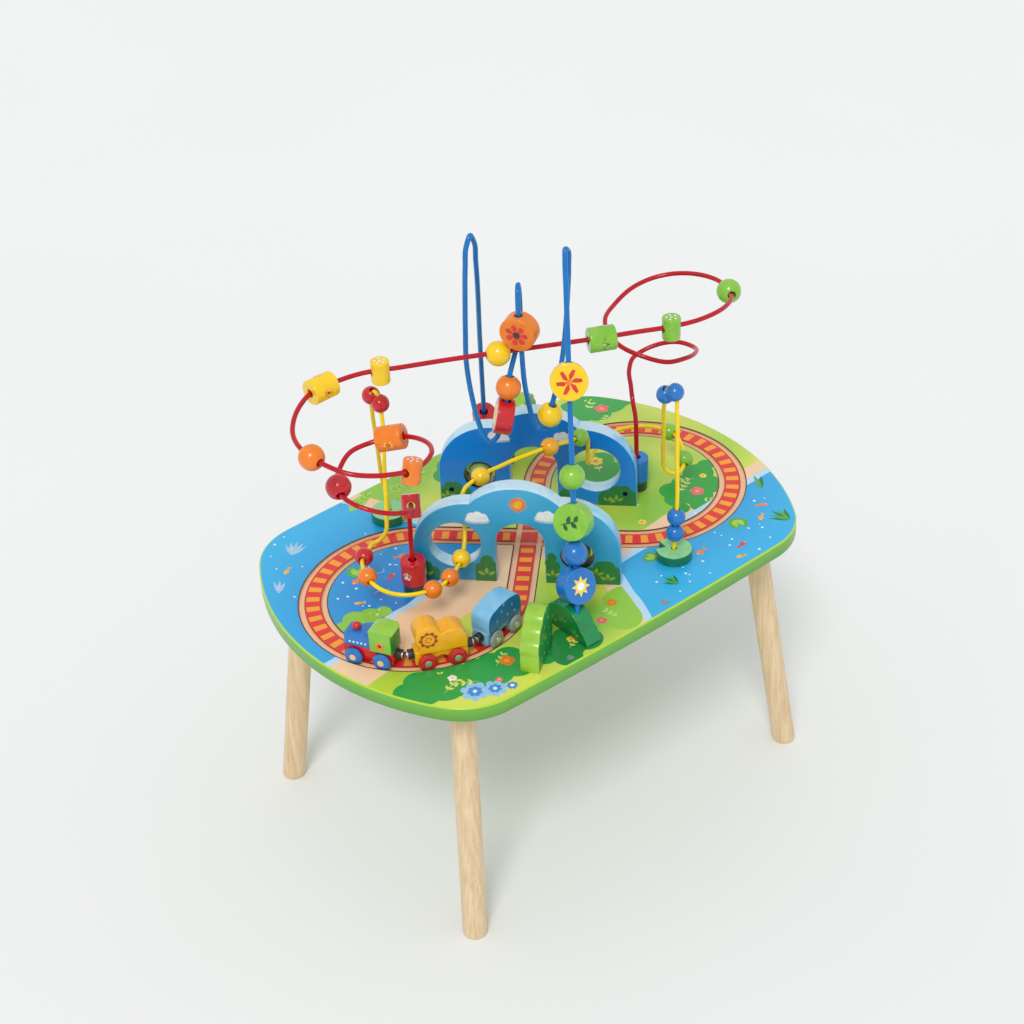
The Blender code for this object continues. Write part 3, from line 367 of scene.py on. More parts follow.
    # The outer edge: every slanted or upright face away from the track's grooves
    upward = upward_part(tree)
    outer = calc(tree, "SUBTRACT", 16.5, values["d"])
    edge = calc(tree, "MAXIMUM", calc(tree, "SUBTRACT", upward, 0.985), outer)
    wall = calc(tree, "MAXIMUM", calc(tree, "SUBTRACT", upward, 0.2), outer)
    ground = over(tree, ground, "B4D92E", edge, 0.004)
    green = blend(tree, remap(tree, values["z"], 302.0, 320.0), "4F9A2B", "74B83A")
    ground = over(tree, ground, green, wall, 0.02)
    return painted(look, ground, raw, 2.2 * MM, 0.010 * MM)


# The print's round-lobed patches, in millimetres on the board
BUSHES = [
    ([(-262, -122, 15), (-243, -116, 16), (-222, -118, 15), (-205, -127, 13), (-250, -136, 17),
      (-228, -140, 22), (-212, -150, 18)], "22A040"),
    ([(-186, -138, 15), (-168, -140, 14), (-150, -146, 16), (-196, -152, 16), (-176, -158, 19),
      (-152, -164, 17), (-132, -160, 15), (-122, -172, 12)], "22A040"),
    ([(-96, -172, 22), (-72, -178, 18), (-104, -186, 16), (-84, -160, 14)], "1C8A3C"),
    ([(2, -160, 27), (34, -152, 22), (58, -164, 22), (24, -178, 28), (84, -178, 20),
      (-20, -178, 20), (100, -190, 12), (50, -186, 20)], "93CC3E"),
    ([(207, 150, 18), (226, 160, 22), (246, 146, 22), (262, 140, 14), (222, 138, 17),
      (240, 166, 17), (206, 168, 14)], "22A33A"),
    ([(176, -42, 15), (198, -44, 19), (222, -36, 18), (240, -30, 10), (168, -58, 14),
      (190, -66, 20), (214, -60, 18), (160, -74, 10), (180, -84, 12)], "24A336"),
    ([(134, 48, 26), (152, 32, 20), (120, 30, 20), (158, 60, 16)], "25A637"),
    ([(8, 158, 16), (26, 168, 20), (48, 176, 18)], "2C9E42"),
]
ISLANDS = [
    ([(-246, 8, 10), (-230, 12, 13), (-214, 6, 12), (-200, 2, 9)], "8DC83C"),
]


def smooth_board_outline():
    """The board's outline: end arcs, corner arcs and nearly straight sides, all tangent."""
    end_x = BOARD_LENGTH / 2 - END_RADIUS
    side_y = BOARD_WIDTH / 2 - SIDE_RADIUS
    span = math.hypot(end_x, side_y)
    a = END_RADIUS - CORNER_RADIUS
    b = SIDE_RADIUS - CORNER_RADIUS
    along = (a * a - b * b + span * span) / (2 * span)
    off = math.sqrt(a * a - along * along)
    unit = Vector((-end_x, side_y)) / span
    centre = Vector((end_x, 0.0)) + unit * along + Vector((-unit.y, unit.x)) * off
    other = Vector((end_x, 0.0)) + unit * along - Vector((-unit.y, unit.x)) * off
    centre = max(centre, other, key=lambda point: point.x)
    end_angle = math.degrees(math.atan2(centre.y, centre.x - end_x))
    side_angle = math.degrees(math.atan2(centre.y - side_y, centre.x))
    quarter = arc((end_x, 0.0), END_RADIUS, 0.0, end_angle, 20)
    quarter += arc(centre, CORNER_RADIUS, end_angle, side_angle, 24)[1:]
    quarter += arc((0.0, side_y), SIDE_RADIUS, side_angle, 90.0, 8)[1:]
    upper = mirrored(quarter)
    return upper + [(x, -y) for x, y in reversed(upper[1:-1])]


def mirrored(points):
    """The points up to the middle line, x = 0, and their mirror images after them."""
    return points + [(-x, y) for x, y in reversed(points[:-1])]


def arc(centre, radius, start, end, count):
    """Points of an arc from start to end degrees, both ends included."""
    points = []
    for i in range(count + 1):
        angle = math.radians(start + (end - start) * i / count)
        points.append((centre[0] + radius * math.cos(angle), centre[1] + radius * math.sin(angle)))
    return points


def ring(centre, radius, count):
    return arc(centre, radius, 0.0, 360.0 - 360.0 / count, count - 1)


def bulged(corners, count):
    """A closed outline of (x, y, bulge): the side after a corner is an arc bulging outwards."""
    points = []
    for i, (x, y, bulge) in enumerate(corners):
        following = corners[(i + 1) % len(corners)]
        points.append((x, y))
        if not bulge:
            continue
        half = Vector((following[0] - x, following[1] - y)) / 2
        outwards = Vector((half.y, -half.x))
        angle = 2 * math.atan(bulge)
        for k in range(1, count):
            turn = angle * (2 * k / count - 1)
            along = math.sin(turn) / math.sin(angle)
            out = (math.cos(turn) - math.cos(angle)) / math.sin(angle)
            points.append(tuple(Vector((x, y)) + half * (1 + along) + outwards * out))
    return points


# Making pieces


def hold(piece):
    """Makes the piece the only selected one, and active."""
    bpy.ops.object.select_all(action="DESELECT")
    piece.select_set(True)
    bpy.context.view_layer.objects.active = piece
    return piece


def apply_modifiers(piece):
    hold(piece)
    for modifier in list(piece.modifiers):
        bpy.ops.object.modifier_apply(modifier=modifier.name)
    return piece


def tidy_mesh(piece):
    """Merges doubles and turns the faces outwards."""
    hold(piece)
    bpy.ops.object.mode_set(mode="EDIT")
    bpy.ops.mesh.select_all(action="SELECT")
    bpy.ops.mesh.remove_doubles(threshold=1e-6)
    bpy.ops.mesh.normals_make_consistent(inside=False)
    bpy.ops.object.mode_set(mode="OBJECT")
    return piece


def drawn(name, outlines, closed=True, **settings):
    """A curve object with a straight-sided spline through the points of each outline."""
    curve = bpy.data.curves.new(name, "CURVE")
    for key, value in settings.items():
        setattr(curve, key, value)
    for outline in outlines:
        spline = curve.splines.new("POLY")
        spline.points.add(len(outline) - 1)
        spline.use_cyclic_u = closed
        for point, place in zip(spline.points, outline):
            point.co = (*Vector(place).to_3d(), 1.0)
    piece = bpy.data.objects.new(name, curve)
    bpy.context.scene.collection.objects.link(piece)
    return piece


def meshed(curve):
    hold(curve)
    bpy.ops.object.convert(target="MESH")
    return bpy.context.view_layer.objects.active


def sawn(name, outlines, thickness, edge=0.0, steps=3):
    """A board sawn to its outlines, thick to both sides of z = 0, its rims rounded by edge."""
    return tidy_mesh(meshed(drawn(
        name, outlines, dimensions="2D", fill_mode="BOTH", extrude=thickness / 2 - edge,
        bevel_depth=edge, bevel_resolution=steps, offset=-edge)))


def cut(piece, *cutters):
    """Cuts the solid cutters out of the piece and removes them."""
    for cutter in cutters:
        modifier = piece.modifiers.new("cut", "BOOLEAN")
        modifier.operation = "DIFFERENCE"
        modifier.solver = "EXACT"
        modifier.object = cutter
    apply_modifiers(piece)
    for cutter in cutters:
        bpy.data.objects.remove(cutter, do_unlink=True)
    return piece


def soften(piece, width):
    """Rounds the edges that are sharper than 40 degrees."""
    modifier = piece.modifiers.new("soften", "BEVEL")
    modifier.width = width
    modifier.segments = 3
    modifier.limit_method = "ANGLE"
    modifier.angle_limit = math.radians(40.0)
    modifier.use_clamp_overlap = True
    return apply_modifiers(piece)


def rod(name, radius, depth, matrix, sides=40):
    """A cylinder about Z, then placed."""
    bpy.ops.mesh.primitive_cylinder_add(vertices=sides, radius=radius, depth=depth)
    piece = bpy.context.active_object
    piece.name = name
    piece.data.transform(matrix)
    return piece


def raised(height):
    return Matrix.Translation((0.0, 0.0, height))


def globe(name, radius, matrix):
    bpy.ops.mesh.primitive_uv_sphere_add(segments=40, ring_count=24, radius=radius)
    piece = bpy.context.active_object
    piece.name = name
    piece.data.transform(matrix)
    return piece


def coloured(piece, *looks):
    piece.data.materials.clear()
    for look in looks:
        piece.data.materials.append(look)
    return piece


def paint_faces(piece, looks, choose):
    """Gives the piece its looks, and each face the one whose number choose returns."""
    coloured(piece, *looks)
    for face in piece.data.polygons:
        face.material_index = choose(face)


def finish(piece, look, body, replaced=(), angle=32.0):
    """Gives the piece its material, smooth shading and body, and hides the parts it replaces."""
    hold(piece)
    if look is not None:
        coloured(piece, look)
    bpy.ops.object.shade_smooth_by_angle(angle=math.radians(angle))
    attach(piece, body)
    if replaced:
        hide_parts(*replaced)
    piece.select_set(False)
    return piece


def joined(first, *others):
    """One piece from several, each keeping its material."""
    bpy.ops.object.select_all(action="DESELECT")
    for other in others:
        other.select_set(True)
    first.select_set(True)
    bpy.context.view_layer.objects.active = first
    bpy.ops.object.join()
    return first


# Printed shapes, as outlines in metres about their own middle


def moved(outline, x, y, turn=0.0):
    c, s = polar(1.0, turn)
    return [(x + c * a - s * b, y + s * a + c * b) for a, b in outline]


def leaf(length, width):
    """A pointed leaf from the origin along X."""
    upper = []
    for i in range(9):
        t = i / 8
        upper.append((length * t, width / 2 * math.sin(math.pi * t ** 0.85)))
    return upper[:-1] + [(length, 0.0)] + [(x, -y) for x, y in reversed(upper[1:-1])]


def drop(length, width):
    """A rounded petal that widens outwards along X."""
    return [(0.0, 0.0)] + arc((length - width / 2, 0.0), width / 2, -100.0, 100.0, 8)


def round_spot(radius, count=14):
    return ring((0.0, 0.0), radius, count)


def blossom(radius, petals):
    """A flower's outline with round petals."""
    points = []
    for i in range(petals * 8):
        angle = 2 * math.pi * i / (petals * 8)
        reach = radius * (0.72 + 0.28 * abs(math.sin(angle * petals / 2)) ** 0.7)
        points.append((reach * math.cos(angle), reach * math.sin(angle)))
    return points


def star(radius, points, depth):
    outline = []
    for i in range(2 * points):
        angle = math.pi * i / points
        reach = radius if i % 2 == 0 else radius * depth
        outline.append((reach * math.cos(angle), reach * math.sin(angle)))
    return outline


def puff(width, height):
    """A cloud with a flat-bottomed row of bumps."""
    w, h = width / 2, height
    return bulged([
        (-w * 0.75, 0.0, 0.10), (w * 0.75, 0.0, 0.75), (w * 0.88, 0.42 * h, 0.55),
        (w * 0.42, 0.78 * h, 0.55), (-w * 0.30, 0.85 * h, 0.60), (-w * 0.85, 0.45 * h, 0.70),
    ], 8)


def ripple(length, width):
    """A thin broken wave line."""
    upper, lower = [], []
    for i in range(7):
        t = i / 6
        y = 0.16 * length * math.sin(2.2 * math.pi * t)
        half = width / 2 * math.sin(math.pi * (0.1 + 0.8 * t))
        upper.append((length * (t - 0.5), y + half))
        lower.append((length * (t - 0.5), y - half))
    return lower + upper[::-1]


def fish(length):
    body = leaf(length * 0.72, length * 0.42)
    x = length * 0.62
    tail = [(x, 0.0), (length, -length * 0.22), (length * 0.9, 0.0), (length, length * 0.22)]
    return [body, tail]


def polar(reach, degrees):
    return reach * math.cos(math.radians(degrees)), reach * math.sin(math.radians(degrees))


def flat_shapes(name, outlines):
    """Thin printed shapes in one mesh, each a hair higher than the one before, so that none
    lies in the plane of another where they overlap. A shape with holes is a tuple of its
    outline and its holes."""
    curves = []
    for i, shape in enumerate(outlines):
        curve = drawn(name, shape if isinstance(shape, tuple) else (shape,), dimensions="2D",
                      fill_mode="BOTH", extrude=PRINT / 2)
        curve.location.z = PRINT_STEP * (i % 12)
        curves.append(curve)
    bpy.ops.object.select_all(action="DESELECT")
    for curve in curves:
        curve.select_set(True)
    bpy.context.view_layer.objects.active = curves[0]
    bpy.ops.object.convert(target="MESH")
    bpy.ops.object.transform_apply(location=True, rotation=False, scale=False)
    if len(curves) > 1:
        bpy.ops.object.join()
    return tidy_mesh(bpy.context.view_layer.objects.active)


def print_layers(name, matrix, height, prints, body):
    """Prints of an ink, a layer and outlines on the surface at that height above the matrix,
    whose z is its normal. The ink and the layer fill their places in the name."""
    for colour, layer, outlines in prints:
        piece = flat_shapes(name.format(ink=colour, layer=layer), outlines)
        piece.data.transform(matrix @ raised(height + PRINT * (0.5 + layer)))
        finish(piece, INKS[colour], body)


# Wires: knots in millimetres from the middle of the table top. The red and yellow wires are
# half given, from a foot to the middle, and the other half is the same at half a turn.

RED_HALF = [
    (-152, 9, -9), (-152, 9, 30), (-152, 9, 70), (-151, 9, 97), (-152, 4, 112), (-160, -8, 124),
    (-172, -24, 132), (-185, -32, 139), (-200, -30, 144), (-216, -20, 150), (-227, -3, 155),
    (-229, 10, 157), (-226, 26, 160), (-210, 42, 167), (-189, 51, 174), (-165, 47, 177),
    (-144, 27, 185), (-136, 3, 190), (-139, -20, 195), (-151, -39, 199), (-179, -54, 202),
    (-209, -57, 210), (-231, -51, 215), (-249, -38, 219), (-262, -13, 224), (-266, 14, 227),
    (-257, 47, 229), (-231, 73, 236), (-203, 84, 240), (-179, 83, 240), (-152, 77, 241),
    (-111, 57, 241), (-70, 37, 241), (-30, 16, 241), (0, 0, 241),
]
YELLOW_HALF = [
    (-92, 135, -9), (-92, 135, 13), (-94, 134, 28), (-100, 131, 60), (-107, 124, 115),
    (-115, 115, 165), (-118, 109, 187), (-117, 104, 192), (-116, 99, 187), (-118, 93, 170),
    (-133, 75, 114), (-146, 60, 68), (-151, 57, 50), (-157, 60, 42), (-166, 62, 39),
    (-177, 57, 37), (-186, 51, 38), (-198, 36, 43), (-207, 18, 46), (-211, 0, 44),
    (-206, -23, 42), (-193, -38, 41), (-176, -46, 41), (-160, -48, 40), (-146, -44, 40),
    (-128, -35, 39), (-112, -24, 40), (-99, -13, 45), (-91, -5, 56), (-87, 1, 71),
    (-86, 3, 84), (-85, 4, 94), (-80, 5, 100), (-70, 6, 103), (-57, 7, 104), (-46, 6, 106),
    (-34, 4, 107), (-15, 2, 108), (0, 0, 108),
]
BLUE_ROUTE = [
    (75, 168.5, 24), (70, 162, 42), (28, 106, 190), (-12, 52, 330), (-18, 45, 356),
    (-25, 42, 367), (-32, 40, 358), (-35, 40, 335), (-34, 45, 296), (-34, 48, 256),
    (-36, 47, 218), (-38, 38, 180), (-39, 27, 152), (-38, 20, 139), (-35, 15, 134),
    (-31, 11, 138), (-27, 8, 148), (-22, 5, 166), (-18, 3, 193), (-13, 4, 212), (-1, 7, 236),
    (6, 8, 254), (8, 8, 275), (8.2, 8, 304), (6.2, 6, 312), (1.5, 1, 316), (-3.2, -4, 312),
    (-5.2, -6, 304), (-4, -6, 266), (-3, -6, 238), (0, -4, 205), (5, -3, 175), (9, -5, 153),
    (12, -9, 143), (15, -14, 143), (18, -18, 154), (21, -23, 175), (25, -31, 210),
    (28, -39, 260), (31, -42, 310), (33, -43, 345), (32, -44, 362), (26, -47, 367),
    (21, -52, 358), (14.4, -60, 335), (-24, -106, 202), (-70, -162, 42), (-75, -168.3, 24),
]


def whole(half):
    return half + [(-x, -y, z) for x, y, z in reversed(half[:-1])]


def smooth(points):
    """A smooth curve through the knots, in metres, with a point each millimetre."""
    knots = [Vector((x * MM, y * MM, z * MM + TOP)) for x, y, z in points]
    lengths = [(b - a).length for a, b in zip(knots, knots[1:])]
    tangents = [(knots[1] - knots[0]) / lengths[0]]
    for i in range(1, len(knots) - 1):
        before, after = lengths[i - 1], lengths[i]
        first = (knots[i] - knots[i - 1]) / before
        second = (knots[i + 1] - knots[i]) / after
        tangents.append((first * after + second * before) / (before + after))
    tangents.append((knots[-1] - knots[-2]) / lengths[-1])
    path = []
    for i, length in enumerate(lengths):
        steps = max(2, round(length / MM))
        for k in range(steps):
            t = k / steps
            path.append(
                knots[i] * (2 * t ** 3 - 3 * t ** 2 + 1)
                + tangents[i] * length * (t ** 3 - 2 * t ** 2 + t)
                + knots[i + 1] * (3 * t ** 2 - 2 * t ** 3)
                + tangents[i + 1] * length * (t ** 3 - t ** 2))
    path.append(knots[-1])
    return path


def wire(name, path, diameter, look):
    """A dipped wire, round all the way along its path."""
    kept = [path[0]]
    turned = 0.0
    for before, here, after in zip(path, path[1:], path[2:]):
        turned += (here - before).angle(after - here, 0.0)
        if turned * (here - kept[-1]).length / 8 >= 0.01 * MM:
            kept.append(here)
            turned = 0.0
    kept.append(path[-1])
    piece = tidy_mesh(meshed(drawn(
        name, [kept], False, dimensions="3D", bevel_depth=diameter / 2, bevel_resolution=6,
        use_fill_caps=True)))
    return finish(piece, look, "table", [name], 50.0)


def lathe(name, profile, sides, closed=False):
    """A profile of (radius, height) points turned about Z. A closed one has a bore."""
    places = [(radius, 0.0, height) for radius, height in profile]
    piece = meshed(drawn(name, [places], closed, dimensions="3D"))
    screw = piece.modifiers.new("turn", "SCREW")
    screw.steps = sides
    screw.render_steps = sides
    screw.use_merge_vertices = True
    screw.merge_threshold = 1e-6
    return tidy_mesh(apply_modifiers(piece))


def eased(points, radii, closed=False, steps=4):
    """The polygon with its corners rounded, one radius for each corner, zero for a sharp one."""
    count = len(points)
    result = []
    for i, radius in enumerate(radii):
        here = Vector(points[i])
        if not radius or (not closed and i in (0, count - 1)):
            result.append(tuple(here))
            continue
        back = Vector(points[i - 1]) - here
        ahead = Vector(points[(i + 1) % count]) - here
        corner = back.angle(ahead)
        reach = min(radius / math.tan(corner / 2), 0.48 * back.length, 0.48 * ahead.length)
        start = here + back.normalized() * reach
        end = here + ahead.normalized() * reach
        for k in range(steps + 1):
            t = k / steps
            result.append(tuple(start * (1 - t) ** 2 + here * 2 * t * (1 - t) + end * t ** 2))
    return result


# Looks

LEG_WOOD = beech("clear_lacquered_beech")
HUB_WOOD = beech("bare_beech_hub")
BOARD_PRINT = printed_board("printed_board")
RED = lacquer("red_lacquer", "D0141F", "B40A16")
ORANGE = lacquer("orange_lacquer", "F48416", "E9740E")
AMBER = lacquer("amber_lacquer", "F8B40C", "F0A608")
YELLOW = lacquer("yellow_lacquer", "FBD20A", "F4C406")
GREEN = lacquer("green_lacquer", "8AC73C", "72B62C")
BLUE = lacquer("blue_lacquer", "1478C8", "0F6AB8")
HUB_STEEL = steel("brushed_steel_hub", "E2E4E6", 0.38)
OLIVE = lacquer("olive_lacquer", "9DB668", "8CA756")
LIME = lacquer("lime_lacquer", "9AD043", "86C035")
DEEP_GREEN = lacquer("deep_green_lacquer", "2E9440", "248236")
LIGHT_BLUE = lacquer("light_blue_lacquer", "86C5E8", "6DB2DC")
STEEL_BLUE = lacquer("steel_blue_lacquer", "2C7AB0", "246C9F")
GREY = lacquer("grey_lacquer", "A4AAA6", "8F9692", 0.3)
BLACK = lacquer("black_lacquer", "1C1E1C", "262A26", 0.3)
MAGNET = steel("nickel_plated_magnet", "D9DCDE", 0.16)
PIN = steel("steel_pin", "C9CCCE", 0.22)
RED_WIRE = coated_wire("red_dipped_wire", "C0041E", "B0031A")
BLUE_WIRE = coated_wire("blue_dipped_wire", "0478C6", "046CB6")
YELLOW_WIRE = coated_wire("yellow_dipped_wire", "FDDC10", "F8D00A")


def sky_edge(name):
    """Brushed pale sky paint on the panels' edges in soft bands across the edge, made whiter
    where the edge faces up: a painted highlight of the light from above."""
    look, tree, _ = blank(name, 0.3, coat=0.3)
    place = object_place(tree)
    bands = noise(tree, place, 16 * MM, 1.0)
    # Painted highlight: the edge's colour turns paler the more its face looks up or down.
    lit = formula(tree, {"up": upward_part(tree), "band": bands}, [
        ("size", "ABSOLUTE", "up", None), ("spread", "SUBTRACT", "band", 0.5),
        ("wave", "MULTIPLY", "spread", 1.1), ("sum", "ADD", "size", "wave"),
    ])["sum"]
    colour = ramp(tree, lit, (0.05, "4CAEDF"), (0.5, "86CDEF"), (0.85, "C4E5F5"))
    return painted(look, colour, place, 1.6 * MM, 0.010 * MM)


def faded_paint(name, low, high, bottom, top):
    """A painted face that fades from its low colour to its high one between two heights, with
    the light mottling of a screen print."""
    look, tree, _ = blank(name, 0.32, coat=0.3)
    place = object_place(tree)
    height = add(tree, "ShaderNodeSeparateXYZ", inputs={0: place}).outputs[2]
    swing = 0.25 * (top - bottom)
    wander = remap(tree, noise(tree, place, 22 * MM), 0.0, 1.0, -swing, swing)
    share = remap(tree, calc(tree, "ADD", height, wander), bottom, top)
    return painted(look, blend(tree, share, low, high), place, 2.0 * MM, 0.008 * MM)


def ink(name, colour, shade):
    """Screen-printed ink under the lacquer, a little uneven in its cover."""
    look, tree, _ = blank(name, 0.32, coat=0.3)
    place = object_place(tree)
    share = remap(tree, noise(tree, place, 5 * MM, 3.0), 0.38, 0.66)
    return painted(look, blend(tree, share, colour, shade), place, 1.2 * MM, 0.006 * MM)


INKS = {word: ink(f"{word}_ink", colour, shade) for word, colour, shade in (
    ("white", "F4F8FB", "E3EDF4"), ("mist", "B7CFE2", "A5C2DA"), ("sky", "9CCDF0", "86BEE8"),
    ("sea", "3C93DA", "2D84CE"), ("bush", "1D7A3E", "17703A"), ("dark", "10602F", "0D5529"),
    ("olive", "8FAE3F", "7F9F38"), ("leaf", "4FB046", "43A33C"), ("lime", "A9D548", "98C93C"),
    ("pale", "D5E67C", "C8DD68"), ("orange", "F28A20", "E67A16"), ("sun", "F9B61E", "F3A315"),
    ("yellow", "FBDD4C", "F6D03A"), ("red", "E23B2E", "D22F26"), ("brick", "B4502A", "A34524"),
    ("pink", "F2707C", "EA5F6E"), ("brown", "4B2E1E", "402618"), ("grey", "8B9794", "7B8784"),
)}


# Board

BOARD_OUTLINE = smooth_board_outline()


def groove_cutters():
    """The track's two grooves: four arcs of 270 degrees and four straight runs."""
    cutters = []
    for offset in (-GROOVE_MIDDLE, GROOVE_MIDDLE):
        low, high = offset - GROOVE_HALF, offset + GROOVE_HALF
        for side in (-1, 1):
            outer = arc((0.0, 0.0), LOOP_RADIUS + high, -GROOVE_TURN, GROOVE_TURN, 140)
            inner = arc((0.0, 0.0), LOOP_RADIUS + low, GROOVE_TURN, -GROOVE_TURN, 140)
            outline = [(side * (LOOP_X + x), side * y) for x, y in outer + inner]
            bend = sawn("groove", [outline], GROOVE_DEPTH + GROOVE_OVER)
            run = sawn("groove", [[
                (-LOOP_RADIUS, low), (LOOP_RADIUS, low), (LOOP_RADIUS, high),
                (-LOOP_RADIUS, high)]], GROOVE_DEPTH + GROOVE_OVER)
            run.data.transform(Matrix.Rotation(side * math.pi / 4, 4, "Z"))
            for cutter in (bend, run):
                cutter.data.transform(raised(TOP + (GROOVE_OVER - GROOVE_DEPTH) / 2))
                cutters.append(cutter)
    return cutters


board = sawn("board", [BOARD_OUTLINE], BOARD_THICKNESS, 1.8 * MM, 4)
board.data.transform(raised(TOP - BOARD_THICKNESS / 2))
cut(board, *groove_cutters())
finish(board, BOARD_PRINT, "table", ["table_top"], 50.0)

LEG_TOP = TOP - BOARD_THICKNESS - 0.3 * MM
for number in (1, 2, 3, 4):
    node = f"leg_{number}"
    low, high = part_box(node)
    profile = eased(
        [(0.0, LEG_TOP), (LEG_RADIUS, LEG_TOP), (LEG_RADIUS, 0.0), (0.0, 0.0)],
        [0.0, 0.6 * MM, 2.4 * MM, 0.0])
    leg = lathe(f"smooth_{node}", profile, 56)
    rake = Matrix.Identity(4)
    for k in (0, 1):
        side = math.copysign(1.0, low[k] + high[k])
        rake[k][2] = -side * LEG_SPREAD[k] / LEG_TOP
        rake[k][3] = side * LEG_FOOT[k]
    leg.data.transform(rake)
    finish(leg, LEG_WOOD, "table", [node])

wire("red_wire", smooth(whole(RED_HALF)), 5.2 * MM, RED_WIRE)
YELLOW_PATH = smooth(whole(YELLOW_HALF))
wire("yellow_wire", YELLOW_PATH, 4.6 * MM, YELLOW_WIRE)
wire("blue_wire", smooth(BLUE_ROUTE), 5.6 * MM, BLUE_WIRE)


# Panels

HALF_TURN = Matrix.Rotation(math.pi, 4, "Z")
FLAT_TO_UPRIGHT = Matrix.Rotation(math.pi / 2, 4, "X")
PANEL_TURN = Matrix.Rotation(BRIDGE_TURN, 4, "Z")
PANEL_PLACE = (
    Matrix.Translation(PANEL_TURN @ Vector((-BRIDGE_SHIFT, -BRIDGE_DISTANCE, 0.0))
                       + Vector((0, 0, SEAT)))
    @ PANEL_TURN @ FLAT_TO_UPRIGHT
)
FACE = BRIDGE_THICKNESS / 2
PANEL_FRONT = faded_paint("cyan_panel_face", "1D93C8", "3BABDB", TOP, TOP + 0.12)
PANEL_BACK = faded_paint("deep_blue_panel_face", "0088E2", "0080DA", TOP, TOP + 0.12)
# The panels' edge paint, with a painted highlight where the edge faces up.
PANEL_EDGE = sky_edge("sky_panel_edge_painted_highlight")
# Painted shade: the walls of the spinner holes and peg holes are lacquered near black to stand in
# for the shade inside them.
HOLE_PAINTED_SHADE = lacquer("hole_wall_painted_shade", "16200F", "22301A", 0.35)


def panel_outline():
    """A bridge panel's three humps and its arch, x from its middle."""
    side = Vector((BRIDGE_HALF - SIDE_HUMP_RADIUS, SIDE_HUMP_HEIGHT))
    middle = Vector((0.0, MIDDLE_HUMP_HEIGHT))
    between = middle - side
    span = between.length
    along = (SIDE_HUMP_RADIUS ** 2 - MIDDLE_HUMP_RADIUS ** 2 + span ** 2) / (2 * span)
    off = math.sqrt(SIDE_HUMP_RADIUS ** 2 - along ** 2)
    unit = between / span
    meet = side + unit * along + Vector((unit.y, -unit.x)) * off
    side_end = math.degrees(math.atan2(meet.y - side.y, meet.x - side.x))
    middle_start = math.degrees(math.atan2(meet.y - middle.y, meet.x - middle.x))
    right = arc(side, SIDE_HUMP_RADIUS, 0.0, side_end, 40)
    right += arc(middle, MIDDLE_HUMP_RADIUS, middle_start, 90.0, 20)[1:]
    arch = arc((BRIDGE_SHIFT, ARCH_SPRING), ARCH_RADIUS, 180.0, 0.0, 40)
    feet = [(BRIDGE_HALF, 0.0)] + mirrored(right) + [(-BRIDGE_HALF, 0.0)]
    return feet + [(arch[0][0], 0.0)] + arch + [(arch[-1][0], 0.0)]


def foot_bush(x, width, height, flip=1):
    """A dark bush along a panel's foot, from x towards the arch."""
    w, h = width * flip, height
    corners = [(x, 0.0, 0.0), (x + w, 0.0, 0.05), (x + w, 0.45 * h, 0.5),
               (x + 0.72 * w, 0.72 * h, 0.5), (x + 0.40 * w, h, 0.5), (x + 0.12 * w, 0.80 * h, 0.4),
               (x, 0.55 * h, 0.05)]
    if flip < 0:
        corners = [(a, b, -bulge) for a, b, bulge in corners]
    return bulged(corners, 10)


def sprig(x, y, size, turn=90.0):
    """Three leaves round one point, a little away from it."""
    leaves = []
    for k in (-1, 0, 1):
        lean = turn + k * 58.0
        a, b = polar(0.25 * size, lean)
        leaves.append(moved(leaf(size, size * 0.46), x + a, y + b, lean))
    return leaves


def front_prints():
    """What the outer face shows, as ink, layer and outlines."""
    return [
        ("bush", 0, [
            foot_bush(-110 * MM, 26 * MM, 24 * MM), foot_bush(-23 * MM, 22 * MM, 34 * MM, -1),
            foot_bush(110 * MM, 40 * MM, 30 * MM, -1), foot_bush(31.5 * MM, 14 * MM, 40 * MM)]),
        ("olive", 1, sprig(-99 * MM, 5 * MM, 8 * MM) + sprig(-33 * MM, 7 * MM, 9 * MM)
         + sprig(97 * MM, 5 * MM, 8 * MM) + sprig(84 * MM, 12 * MM, 8 * MM, 80)
         + sprig(38 * MM, 8 * MM, 8 * MM)),
        ("mist", 0, [moved(puff(27 * MM, 15 * MM), -40 * MM, 76 * MM),
                     moved(puff(28 * MM, 15 * MM), 34 * MM, 79 * MM, -4)]),
        ("white", 1, [moved(puff(25 * MM, 12.5 * MM), -40 * MM, 78.5 * MM),
                      moved(puff(26 * MM, 12.5 * MM), 34 * MM, 81.5 * MM, -4)]),
        ("orange", 0, [moved(star(10.5 * MM, 16, 0.68), 4 * MM, 101 * MM)]),
        ("sun", 1, [moved(round_spot(5 * MM, 24), 4 * MM, 101 * MM)]),
    ]


def peg_ring(side):
    """The rim that a print leaves free round a peg hole of the inner face."""
    return ring((side * PEG[0], PEG[1]), PEG_RADIUS + 0.2 * MM, 32)


def back_prints():
    """What the inner face shows, seen from its own side."""
    return [
        ("bush", 0, [(foot_bush(-110 * MM, 34 * MM, 26 * MM), peg_ring(-1)),
                     foot_bush(-31.5 * MM, 14 * MM, 30 * MM, -1),
                     (foot_bush(110 * MM, 42 * MM, 26 * MM, -1), peg_ring(1)),
                     foot_bush(23.5 * MM, 16 * MM, 20 * MM)]),
        ("olive", 1, sprig(-103 * MM, 5 * MM, 8 * MM) + sprig(88 * MM, 5 * MM, 8 * MM)
         + sprig(79 * MM, 4 * MM, 7 * MM, 70)),
        ("mist", 0, [moved(puff(27 * MM, 15 * MM), -42 * MM, 82 * MM),
                     moved(puff(24 * MM, 13 * MM), 30 * MM, 84 * MM)]),
        ("white", 1, [moved(puff(25 * MM, 12.5 * MM), -42 * MM, 84.5 * MM),
                      moved(puff(22 * MM, 11 * MM), 30 * MM, 86 * MM)]),
    ]


